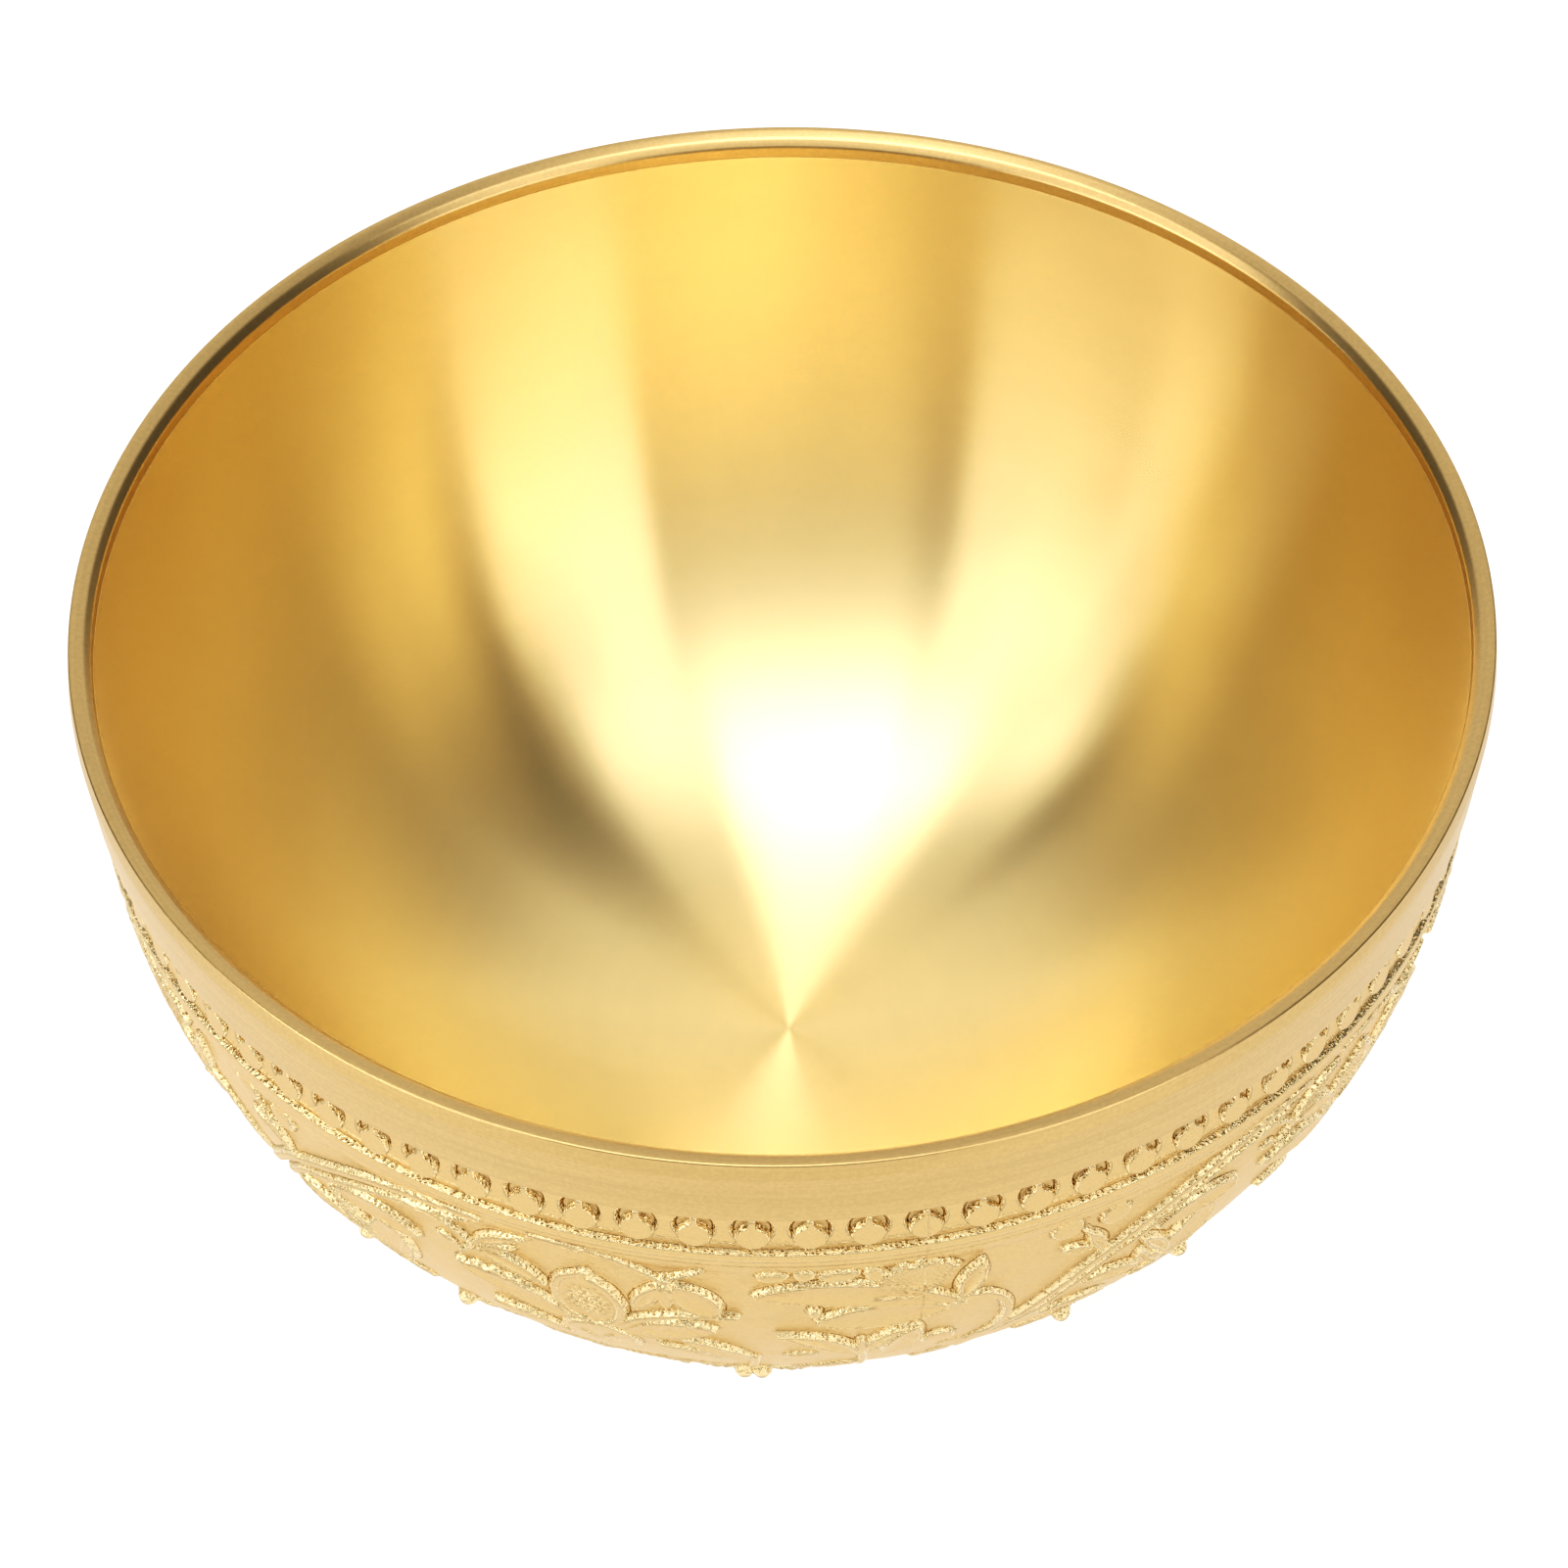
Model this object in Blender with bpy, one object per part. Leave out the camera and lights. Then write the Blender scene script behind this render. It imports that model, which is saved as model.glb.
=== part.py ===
"""A brass bowl with a relief jacket, a smooth liner, a turned rim collar and a foot ring.

Metres, +Z up. The foot stands on z = 0 and the bowl's axis is the Z axis. Depths are measured
down from the top of the rim. Turned pieces are outlines of (radius, depth) points spun about Z.
The jacket has one flat facet for each stud, which gives every stud a flat floor to stand on.
The flower relief has its main forms only, and repeats round the jacket.
"""

import math

import bmesh
import bpy
from mathutils import Matrix, Vector

# Overall sizes
HEIGHT = 0.0585
RIM_RADIUS = 0.0550
CLEARANCE = 0.0003

# Rim collar: a lip, round inside and bevelled outside, over a plain band proud of the stud row
LIP_WIDTH = 0.00193
LIP_INNER_ROUND = 0.0008
LIP_INNER_DEPTH = 0.0018
LIP_BEVEL_WIDTH = 0.00023
LIP_BEVEL_DEPTH = 0.00055
LIP_CROWN = 0.0001
BAND_DEPTH = 0.00724
BAND_TAPER = 0.0007
BAND_ARRIS_DEPTH = 0.0038
BAND_ARRIS_INSET = 0.0002
BAND_CHAMFER_WIDTH = 0.00015
BAND_CHAMFER_HEIGHT = 0.00022
LIP_ARC_STEPS = 4
COLLAR_FACETS = 64

# Inner liner: a thin spun bowl, fuller than a half ellipsoid, with its widest plane above the rim
LINER_FULLNESS = 2.4
LINER_PLANE_RISE = 0.011
LINER_WALL = 0.00035
LINER_BASE_WALL = 0.0006
LINER_RINGS = 7
LINER_FACETS = 56

# Relief jacket: the outer skin below the band
JACKET_INSET = 0.0012
JACKET_FULLNESS = 2.5
JACKET_WALL = 0.00065
BASE_HOLLOW = 0.0030
RIDGE_HEIGHT = 0.0014
RIDGE_PROUD = 0.0006
RIDGE_EDGE = 0.00035
JACKET_RINGS = 6
JACKET_BASE_RINGS = 2
JACKET_HOLLOW_RINGS = 5

# Stud row: flat studs hang by their necks over round recesses cut in the belt at the jacket's top
STUD_COUNT = 80
STUD_RADIUS = 0.00123
STUD_DROP = 0.00266
STUD_HEIGHT = 0.00045
STUD_NECK_WIDTH = 0.00075
RECESS_MARGIN = 0.00030
RECESS_RISE = 0.0008
RECESS_DEPTH = 0.00027
RECESS_SKIN = 0.00035
BELT_HEIGHT = 0.0032
GUTTER_HEIGHT = 0.00086
GUTTER_DROP = 0.0001
STUD_SIDES = 8
RECESS_SIDES = 8

# Flower relief: steep forms with a low crown. A form's place is an azimuth in degrees from the front
# and a drop below the ridge; its drop, length and width are in modules, its lean in degrees.
RELIEF_REPEATS = 5
RELIEF_HEIGHT = 0.00065
RELIEF_EDGE_SHARE = 0.72
RELIEF_ROOT = 0.0004
RELIEF_MODULE = 0.0010
SCROLL_WIDTH = 0.0024
SCROLL_PATH = ((13.7, 21.0), (18.8, 15.8), (24.3, 9.8), (30.0, 6.2), (36.5, 3.1), (42.5, 2.0))
RELIEF_FORMS = {
    "open_petal": ("leaf", 3.2, 4.9, 14.8, 3.5, 10.0),
    "folded_petal": ("leaf", 5.6, 9.5, 9.8, 3.8, -2.0),
    "fan_petal": ("oval", 8.6, 3.0, 6.0, 2.7, 4.0),
    "bud": ("oval", -18.4, 9.2, 5.8, 8.8, 0.0),
    "acanthus": ("leaf", -11.4, 11.4, 10.2, 4.0, -23.0),
    "beaded_lobe": ("leaf", -25.3, 11.4, 10.2, 3.6, 27.0),
    "peony": ("oval", -18.7, 16.9, 5.6, 5.4, 0.0),
    "striped_petal": ("oval", -37.5, 12.7, 4.4, 7.0, 0.0),
    "lower_rosette": ("rosette", -5.7, 29.6, 9.4, 9.4, 0.0),
    "second_rosette": ("rosette", 30.0, 29.6, 9.4, 9.4, 0.0),
}
LEAF_OUTLINE = ((-0.5, 0.0), (-0.22, 0.44), (0.2, 0.5), (0.5, 0.0), (0.2, -0.5), (-0.22, -0.44))
OVAL_SIDES = 7
ROSETTE_PETALS = 5
ROSETTE_WAIST = 0.66

# Foot ring and the flat seat turned for it under the jacket
FOOT_HEIGHT = 0.0050
FOOT_OUTER_RADIUS = 0.0265
FOOT_WIDTH = 0.0025
FOOT_FLARE = 0.0008
FOOT_NECK_HEIGHT = 0.0006
FOOT_COVE_DEPTH = 0.0006
FOOT_COVE_DROP = 0.0018
FOOT_PAD_HEIGHT = 0.0010
FOOT_SOLE_CHAMFER = 0.0003
SEAT_MARGIN = 0.0004
FOOT_FACETS = 40

MATERIALS = {
    "rim_collar": ((0.66, 0.47, 0.17), 0.30),
    "relief_jacket": ((0.80, 0.60, 0.27), 0.42),
    "inner_liner": ((0.74, 0.50, 0.17), 0.24),
    "foot_ring": ((0.68, 0.48, 0.19), 0.32),
}


def clear_scene():
    """Remove every object, so the file holds only this model."""
    for old in list(bpy.data.objects):
        bpy.data.objects.remove(old, do_unlink=True)


def bowl_radius(depth, top_radius, full_depth, fullness):
    """Radius of a superellipsoid bowl at one depth below its widest plane."""
    share = min(max(depth / full_depth, 0.0), 1.0)
    return top_radius * (1.0 - share**fullness) ** (1.0 / fullness)


def bowl_depth(radius, top_radius, full_depth, fullness):
    """Depth of the same bowl where it has one radius."""
    share = min(max(radius / top_radius, 0.0), 1.0)
    return full_depth * (1.0 - share**fullness) ** (1.0 / fullness)


def bowl_curve(first_depth, last_radius, top_radius, full_depth, fullness, steps):
    """(radius, depth) points down the bowl, evenly spread over its turn."""
    start = math.asin((first_depth / full_depth) ** (fullness / 2))
    stop = math.acos((last_radius / top_radius) ** (fullness / 2))
    points = []
    for step in range(steps + 1):
        turn = start + (stop - start) * step / steps
        radius = top_radius * max(math.cos(turn), 0.0) ** (2 / fullness)
        depth = full_depth * math.sin(turn) ** (2 / fullness)
        points.append((radius, depth))
    points[-1] = (last_radius, bowl_depth(last_radius, top_radius, full_depth, fullness))
    return points


def arc(centre, radius, first_degrees, last_degrees, steps):
    """(radius, depth) points on a circular arc; 90 degrees points up to the rim."""
    points = []
    for step in range(steps + 1):
        angle = math.radians(first_degrees + (last_degrees - first_degrees) * step / steps)
        points.append((centre[0] + radius * math.cos(angle), centre[1] - radius * math.sin(angle)))
    return points


def add_object(name, mesh):
    """Link one named object with its own brass material."""
    colour, roughness = MATERIALS[name]
    material = bpy.data.materials.new(name + "_brass")
    material.use_nodes = True
    shader = material.node_tree.nodes["Principled BSDF"]
    shader.inputs["Base Color"].default_value = (*colour, 1.0)
    shader.inputs["Metallic"].default_value = 1.0
    shader.inputs["Roughness"].default_value = roughness
    mesh.materials.append(material)
    mesh.shade_smooth()
    mesh.set_sharp_from_angle(angle=math.radians(32))
    piece = bpy.data.objects.new(name, mesh)
    bpy.context.scene.collection.objects.link(piece)
    return piece


def turned_mesh(name, outline, facets, first_angle=0.0):
    """Turn a closed (radius, depth) outline about the bowl's axis."""
    shape = bmesh.new()
    turn = Matrix.Rotation(first_angle, 4, "Z")
    corners = [shape.verts.new(turn @ Vector((r, 0.0, HEIGHT - depth))) for r, depth in outline]
    edges = []
    for index, corner in enumerate(corners):
        following = corners[(index + 1) % len(corners)]
        on_axis = outline[index][0] < 1e-9 and outline[(index + 1) % len(corners)][0] < 1e-9
        if not on_axis:
            edges.append(shape.edges.new((corner, following)))
    bmesh.ops.spin(
        shape,
        geom=corners + edges,
        cent=(0.0, 0.0, 0.0),
        axis=(0.0, 0.0, 1.0),
        angle=2 * math.pi,
        steps=facets,
        use_merge=False,
    )
    bmesh.ops.remove_doubles(shape, verts=shape.verts, dist=1e-6)
    bmesh.ops.recalc_face_normals(shape, faces=shape.faces)
    mesh = bpy.data.meshes.new(name)
    shape.to_mesh(mesh)
    shape.free()
    return mesh


def foot_seat_radii():
    """Inner and outer radius of the flat seat under the jacket."""
    return FOOT_OUTER_RADIUS - FOOT_WIDTH - SEAT_MARGIN, FOOT_OUTER_RADIUS + SEAT_MARGIN


def foot_seat_depth():
    """Depth of the seat's flat face below the rim."""
    return HEIGHT - FOOT_HEIGHT - CLEARANCE


def jacket_shape():
    """Top radius, full depth and fullness of the jacket's outside, which meets the seat's inner edge."""
    top_radius = RIM_RADIUS - JACKET_INSET
    seat_share = bowl_depth(foot_seat_radii()[0], top_radius, 1.0, JACKET_FULLNESS)
    return top_radius, foot_seat_depth() / seat_share, JACKET_FULLNESS


def liner_shape():
    """Top radius, full depth and fullness of the liner's inside, from its widest plane down."""
    inner_depth = jacket_shape()[1] - JACKET_WALL - BASE_HOLLOW - LINER_BASE_WALL
    full_depth = inner_depth + LINER_PLANE_RISE
    seam_share = bowl_radius(LIP_INNER_DEPTH + LINER_PLANE_RISE, 1.0, full_depth, LINER_FULLNESS)
    return (RIM_RADIUS - LIP_WIDTH) / seam_share, full_depth, LINER_FULLNESS


def liner_bore(depth):
    """Radius that clears the liner's outside at one depth below the rim."""
    return bowl_radius(depth + LINER_PLANE_RISE, *liner_shape()) + LINER_WALL + CLEARANCE


def liner_points(first_depth, wall, base_wall):
    """(radius, depth) points down a face of the liner, the wall's thickness outside its inside."""
    top_radius, full_depth, fullness = liner_shape()
    face = (top_radius + wall, full_depth + base_wall, fullness)
    raised = bowl_curve(first_depth + LINER_PLANE_RISE, 0.0, *face, LINER_RINGS)
    return [(radius, depth - LINER_PLANE_RISE) for radius, depth in raised]


def make_inner_liner():
    """Spun inner bowl whose top edge butts against the underside of the lip."""
    top = LIP_INNER_DEPTH + CLEARANCE
    inside = liner_points(top, 0.0, 0.0)
    outside = liner_points(top, LINER_WALL, LINER_BASE_WALL)
    return add_object("inner_liner", turned_mesh("inner_liner", inside + outside[::-1], LINER_FACETS))


def make_rim_collar():
    """Turned lip and band: it caps the liner's edge and its skirt closes round the liner."""
    seam_radius = RIM_RADIUS - LIP_WIDTH
    round_centre = (seam_radius + LIP_INNER_ROUND, LIP_INNER_ROUND)
    outline = arc(round_centre, LIP_INNER_ROUND, 180, 90, LIP_ARC_STEPS)
    band_foot_radius = RIM_RADIUS - BAND_TAPER
    outline += [
        (RIM_RADIUS - LIP_BEVEL_WIDTH, LIP_CROWN),
        (RIM_RADIUS, LIP_CROWN + LIP_BEVEL_DEPTH),
        (RIM_RADIUS - BAND_ARRIS_INSET, BAND_ARRIS_DEPTH),
        (band_foot_radius, BAND_DEPTH - BAND_CHAMFER_HEIGHT),
        (band_foot_radius - BAND_CHAMFER_WIDTH, BAND_DEPTH),
        (liner_bore(BAND_DEPTH), BAND_DEPTH),
        (liner_bore(LIP_INNER_DEPTH), LIP_INNER_DEPTH),
        (seam_radius, LIP_INNER_DEPTH),
    ]
    return add_object("rim_collar", turned_mesh("rim_collar", outline, COLLAR_FACETS))


def jacket_top():
    """Depth of the jacket's top edge, just under the band."""
    return BAND_DEPTH + CLEARANCE


def recess_floor_radius():
    """Radius of the recess floors, a skin outside the bore that takes the liner."""
    return liner_bore(jacket_top()) + RECESS_SKIN


def ridge_foot_depth():
    """Depth of the ridge's lower edge, where the relief starts."""
    return jacket_top() + BELT_HEIGHT + GUTTER_HEIGHT + RIDGE_HEIGHT


def jacket_outline():
    """Closed outline of the jacket: belt, gutter, ridge, body, foot seat, base and inner wall."""
    shape = jacket_shape()
    top = jacket_top()
    belt_radius = recess_floor_radius() + RECESS_DEPTH
    belt_foot = top + BELT_HEIGHT
    gutter_radius = recess_floor_radius() - GUTTER_DROP
    ridge_top = belt_foot + GUTTER_HEIGHT
    ridge_foot = ridge_foot_depth()
    ridge_radius = bowl_radius(ridge_top + RIDGE_HEIGHT / 2, *shape) + RIDGE_PROUD
    outline = [
        (belt_radius, top),
        (belt_radius, belt_foot),
        (gutter_radius, belt_foot),
        (gutter_radius, ridge_top),
        (ridge_radius, ridge_top + RIDGE_EDGE),
        (ridge_radius, ridge_foot - RIDGE_EDGE),
    ]
    seat_inner, seat_outer = foot_seat_radii()
    seat_depth = foot_seat_depth()
    outline += bowl_curve(ridge_foot, seat_outer, *shape, JACKET_RINGS)
    outline.append((seat_outer, seat_depth))
    outline += bowl_curve(seat_depth, 0.0, *shape, JACKET_BASE_RINGS)
    hollow = (shape[0] - JACKET_WALL, shape[1] - JACKET_WALL, JACKET_FULLNESS)
    outline += bowl_curve(ridge_foot, 0.0, *hollow, JACKET_HOLLOW_RINGS)[::-1]
    outline += [(liner_bore(top), belt_foot), (liner_bore(top), top)]
    return outline


def radial_frame(index, radius, depth):
    """Matrix of a stud's frame: +Z outward, +Y up the wall, at one radius and depth."""
    angle = 2 * math.pi * index / STUD_COUNT
    outward = Vector((math.cos(angle), math.sin(angle), 0.0))
    up = Vector((0.0, 0.0, 1.0))
    side = up.cross(outward)
    frame = Matrix((side, up, outward)).transposed().to_4x4()
    frame.translation = outward * radius + up * (HEIGHT - depth)
    return frame


def add_prism(shape, outline, frame, height):
    """Add an upright prism with an (x, y) outline to a bmesh, standing on the frame."""
    low = [shape.verts.new(frame @ Vector((x, y, 0.0))) for x, y in outline]
    high = [shape.verts.new(frame @ Vector((x, y, height))) for x, y in outline]
    shape.faces.new(low[::-1])
    shape.faces.new(high)
    for index in range(len(outline)):
        following = (index + 1) % len(outline)
        shape.faces.new((low[index], low[following], high[following], high[index]))


def keyhole_outline():
    """Outline of a round stud with a narrow neck that runs up under the band."""
    half_neck = STUD_NECK_WIDTH / 2
    neck_angle = math.degrees(math.acos(half_neck / STUD_RADIUS))
    outline = []
    for step in range(STUD_SIDES + 1):
        angle = math.radians(180 - neck_angle + (180 + 2 * neck_angle) * step / STUD_SIDES)
        outline.append((STUD_RADIUS * math.cos(angle), STUD_RADIUS * math.sin(angle)))
    neck_top = STUD_DROP - CLEARANCE * 2
    outline.append((half_neck, neck_top))
    outline.append((-half_neck, neck_top))
    return outline


def recess_outline():
    """Outline of a round recess, whose centre lies above the stud's."""
    radius = STUD_RADIUS + RECESS_MARGIN
    turns = [2 * math.pi * (step + 0.5) / RECESS_SIDES for step in range(RECESS_SIDES)]
    return [(radius * math.cos(turn), RECESS_RISE + radius * math.sin(turn)) for turn in turns]


def wall_frame(drop):
    """Radius, depth and outward direction (radial, downward) of the jacket's curve below the ridge."""
    top_radius, full_depth, fullness = jacket_shape()
    depth = ridge_foot_depth() + drop
    radius = bowl_radius(depth, top_radius, full_depth, fullness)
    across = (radius / top_radius) ** (fullness - 1) / top_radius
    down = (depth / full_depth) ** (fullness - 1) / full_depth
    size = math.hypot(across, down)
    return radius, depth, across / size, down / size


def wall_point(azimuth, drop, height):
    """Point over the jacket's curve at an azimuth in degrees from the front and a drop below the ridge."""
    radius, depth, across, down = wall_frame(drop)
    angle = math.radians(azimuth - 90)
    reach = radius + across * height
    return Vector((reach * math.cos(angle), reach * math.sin(angle), HEIGHT - depth - down * height))


def form_outline(kind):
    """Outline of one relief form, in shares of its length and width."""
    if kind == "leaf":
        return LEAF_OUTLINE
    sides = OVAL_SIDES if kind == "oval" else 2 * ROSETTE_PETALS
    outline = []
    for step in range(sides):
        turn = 2 * math.pi * (step + 0.5) / sides
        share = ROSETTE_WAIST if kind == "rosette" and step % 2 else 1.0
        outline.append((0.5 * share * math.cos(turn), 0.5 * share * math.sin(turn)))
    return outline


def add_form(shape, turn, kind, azimuth, drop, length, width, lean):
    """Add one relief form to a bmesh: a root inside the wall, a steep edge and a low crown."""
    radius, _, upright, _ = wall_frame(drop * RELIEF_MODULE)
    cosine, sine = math.cos(math.radians(lean)), math.sin(math.radians(lean))
    places = []
    for along, aside in form_outline(kind):
        x = (along * length * cosine - aside * width * sine) * RELIEF_MODULE
        y = (along * length * sine + aside * width * cosine) * RELIEF_MODULE
        places.append((azimuth + turn + math.degrees(x / radius), drop * RELIEF_MODULE + y * upright))
    root = [shape.verts.new(wall_point(*place, -RELIEF_ROOT)) for place in places]
    edge = [shape.verts.new(wall_point(*place, RELIEF_HEIGHT * RELIEF_EDGE_SHARE)) for place in places]
    middle = (azimuth + turn, drop * RELIEF_MODULE)
    crown = shape.verts.new(wall_point(*middle, RELIEF_HEIGHT))
    heart = shape.verts.new(wall_point(*middle, -RELIEF_ROOT))
    for index in range(len(places)):
        following = (index + 1) % len(places)
        shape.faces.new((root[index], root[following], edge[following], edge[index]))
        shape.faces.new((edge[index], edge[following], crown))
        shape.faces.new((root[following], root[index], heart))


def add_scroll(shape, turn):
    """Add the long stem that rises to the right: a band of even width over its path."""
    rings = []
    for index, (azimuth, drop) in enumerate(SCROLL_PATH):
        before = SCROLL_PATH[max(index - 1, 0)]
        after = SCROLL_PATH[min(index + 1, len(SCROLL_PATH) - 1)]
        radius, _, upright, _ = wall_frame(drop * RELIEF_MODULE)
        sideways = math.radians(after[0] - before[0]) * radius
        downward = (after[1] - before[1]) * RELIEF_MODULE / upright
        run = Vector((sideways, downward)).normalized()
        ring = []
        for side, height in ((1, -RELIEF_ROOT), (1, RELIEF_HEIGHT), (-1, RELIEF_HEIGHT), (-1, -RELIEF_ROOT)):
            x = -run.y * side * SCROLL_WIDTH / 2
            y = run.x * side * SCROLL_WIDTH / 2
            place = (azimuth + turn + math.degrees(x / radius), drop * RELIEF_MODULE + y * upright)
            ring.append(shape.verts.new(wall_point(*place, height)))
        rings.append(ring)
    shape.faces.new(rings[0])
    shape.faces.new(rings[-1][::-1])
    for first, second in zip(rings, rings[1:]):
        for index in range(4):
            following = (index + 1) % 4
            shape.faces.new((first[following], first[index], second[index], second[following]))


def relief_tool():
    """One hidden tool object with every form of the flower relief."""
    shape = bmesh.new()
    for repeat in range(RELIEF_REPEATS):
        turn = 360.0 * repeat / RELIEF_REPEATS
        add_scroll(shape, turn)
        for form in RELIEF_FORMS.values():
            add_form(shape, turn, *form)
    bmesh.ops.recalc_face_normals(shape, faces=shape.faces)
    return hidden_tool("flower_tool", shape)


def hidden_tool(name, shape):
    """Link a bmesh as a hidden tool object."""
    mesh = bpy.data.meshes.new(name)
    shape.to_mesh(mesh)
    shape.free()
    tool = bpy.data.objects.new(name, mesh)
    tool.hide_render = True
    tool.display_type = "WIRE"
    bpy.context.scene.collection.objects.link(tool)
    return tool


def pattern_tool(name, outline, base_radius, height):
    """One hidden tool object with a prism at every stud."""
    shape = bmesh.new()
    for index in range(STUD_COUNT):
        add_prism(shape, outline, radial_frame(index, base_radius, BAND_DEPTH + STUD_DROP), height)
    return hidden_tool(name, shape)


def add_boolean(piece, tool, operation):
    """Join or cut a piece with a tool object."""
    modifier = piece.modifiers.new(tool.name, "BOOLEAN")
    modifier.operation = operation
    modifier.solver = "EXACT"
    modifier.use_self = True
    modifier.object = tool


def make_relief_jacket():
    """Outer skin: a turned shell, its belt cut by recesses and set with studs, its body with flowers."""
    shell = turned_mesh("relief_jacket", jacket_outline(), STUD_COUNT, -math.pi / STUD_COUNT)
    jacket = add_object("relief_jacket", shell)
    floor = recess_floor_radius()
    reach = RECESS_DEPTH + CLEARANCE * 2
    recess_tool = pattern_tool("recess_tool", recess_outline(), floor, reach)
    add_boolean(jacket, recess_tool, "DIFFERENCE")
    sunk = RECESS_SKIN / 2
    stud_tool = pattern_tool("stud_tool", keyhole_outline(), floor - sunk, sunk + STUD_HEIGHT)
    add_boolean(jacket, stud_tool, "UNION")
    add_boolean(jacket, relief_tool(), "UNION")
    return jacket


def make_foot_ring():
    """Turned foot: a cove under the seat, then a flare down to a flat sole."""
    top = foot_seat_depth() + CLEARANCE
    inner = FOOT_OUTER_RADIUS - FOOT_WIDTH
    sole_outer = FOOT_OUTER_RADIUS + FOOT_FLARE
    sole_inner = inner + FOOT_FLARE / 2
    outline = [
        (inner, top),
        (FOOT_OUTER_RADIUS, top),
        (FOOT_OUTER_RADIUS, top + FOOT_NECK_HEIGHT),
        (FOOT_OUTER_RADIUS - FOOT_COVE_DEPTH, top + FOOT_COVE_DROP),
        (sole_outer, HEIGHT - FOOT_PAD_HEIGHT),
        (sole_outer, HEIGHT - FOOT_SOLE_CHAMFER),
        (sole_outer - FOOT_SOLE_CHAMFER, HEIGHT),
        (sole_inner + FOOT_SOLE_CHAMFER, HEIGHT),
        (sole_inner, HEIGHT - FOOT_SOLE_CHAMFER),
    ]
    return add_object("foot_ring", turned_mesh("foot_ring", outline, FOOT_FACETS))


def build():
    """Model every piece of the bowl."""
    clear_scene()
    make_rim_collar()
    make_inner_liner()
    make_relief_jacket()
    make_foot_ring()


build()
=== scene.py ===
"""Looks of a brass bowl: spun inside, turned lip and band, stud row, cast flower relief, foot ring.

Sizes are in millimetres until a mesh is made, and depths are measured down from the top of the rim.
Azimuths are in degrees from the front, which is -Y, and grow to the right, towards +X.
The relief is a height field over azimuth and arc length below the ridge. It repeats every 72 degrees.
"""

import math

import bpy
import numpy as np
from mathutils import Matrix, Vector


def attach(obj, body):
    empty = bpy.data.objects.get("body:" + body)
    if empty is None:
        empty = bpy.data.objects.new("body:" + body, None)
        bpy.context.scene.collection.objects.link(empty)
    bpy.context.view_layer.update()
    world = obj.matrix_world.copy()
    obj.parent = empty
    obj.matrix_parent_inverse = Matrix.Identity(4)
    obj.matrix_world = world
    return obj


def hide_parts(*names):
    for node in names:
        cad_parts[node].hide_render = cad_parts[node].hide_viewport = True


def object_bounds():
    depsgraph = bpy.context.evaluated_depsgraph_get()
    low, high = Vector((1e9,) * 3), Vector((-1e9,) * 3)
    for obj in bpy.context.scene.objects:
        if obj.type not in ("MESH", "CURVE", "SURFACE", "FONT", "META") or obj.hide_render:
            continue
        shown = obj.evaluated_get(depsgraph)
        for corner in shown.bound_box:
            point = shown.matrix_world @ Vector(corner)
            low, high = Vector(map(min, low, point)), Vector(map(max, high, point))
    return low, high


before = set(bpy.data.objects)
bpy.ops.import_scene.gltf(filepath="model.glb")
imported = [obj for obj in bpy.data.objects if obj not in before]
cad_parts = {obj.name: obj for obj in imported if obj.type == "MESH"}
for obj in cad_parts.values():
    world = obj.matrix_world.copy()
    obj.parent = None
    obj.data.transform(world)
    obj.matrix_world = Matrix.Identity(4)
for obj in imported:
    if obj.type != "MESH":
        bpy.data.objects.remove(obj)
first_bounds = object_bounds()

MM = 0.001

# Overall, the first two from the CAD's box
HEIGHT = round(first_bounds[1][2] / MM, 3)
RIM_RADIUS = round(first_bounds[1][0] / MM, 3)
BAND_DEPTH = 7.24

# Jacket curve, a superellipse that starts at the rim's level
JACKET_RADIUS = 54.0
JACKET_DEPTH = 56.1514
JACKET_FULLNESS = 2.5
RIDGE_FOOT = 13.0
RELIEF_END = 51.9
JACKET_WALL = 0.8
BASE_THICKNESS = 0.85

# Foot ring and its seat under the jacket
SEAT_INNER = 23.6
SEAT_OUTER = 26.9
SEAT_DEPTH = 53.2
FOOT_INNER = 24.0
FOOT_TOP = 26.5
FOOT_PAD = 27.3

# Inside of the liner, a superellipse whose widest plane lies above the rim, and the seam at its edge
LINER_DEPTH = 51.9014
LINER_RISE = 11.0
LINER_FULLNESS = 2.4
SEAM_RADIUS = 53.07
SEAM_DEPTH = 1.8

# Stud row: radii of its faces from the axis, sizes of a stud and its recess, depths, and the grid
BELT_BACK = 53.02
FLOOR_RADIUS = 53.34
GUTTER_RADIUS = 53.4
BELT_RADIUS = 53.63
STUD_FACE = 53.81
RIDGE_RADIUS = 53.84
STUD_COUNT = 80
STUD_RADIUS = 1.23
STUD_EDGE = 0.11
NECK_HALF = 0.27
NECK_FLARE = 0.35
RECESS_RADIUS = 1.55
RECESS_RISE = 0.85
RECESS_EDGE = 0.45
STUD_DEPTH = 9.9
BELT_FOOT = 10.74
RIDGE_TOP = 11.6
BELT_ROW = 0.065
STUD_COLUMNS = 64

# Relief: the repeat, the mould seam, the cast ground, the ridge's flat strip above it, the leaves,
# the grid, and the knobs that stand past the outline, as azimuth and arc length
SECTORS = 5
PERIOD = 360.0 / SECTORS
SEAM_AZIMUTH = 9.07
SEAM_WIDTH = 0.1
SEAM_PROUD = 0.05
GROUND = -0.06
STRIP_END = 0.6
STRIP_PROUD = 0.22
LEAF_HEIGHT = 0.62
LEAF_EDGE = 0.42
NOISE_SCALE = 0.93
SEEN_LENGTH = 24.0
FINE_ROW = 0.17
COARSE_ROW = 0.32
COLUMNS = 400
KNOBS = ((65.7, 27.0), (67.4, 27.0), (38.2, 23.4), (25.0, 24.4))

# The height attribute on plain ground, which the cast brass reads to paint shade in the hollows and
# highlights on high steep edges
PLAIN_MARK = 0.2

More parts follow.
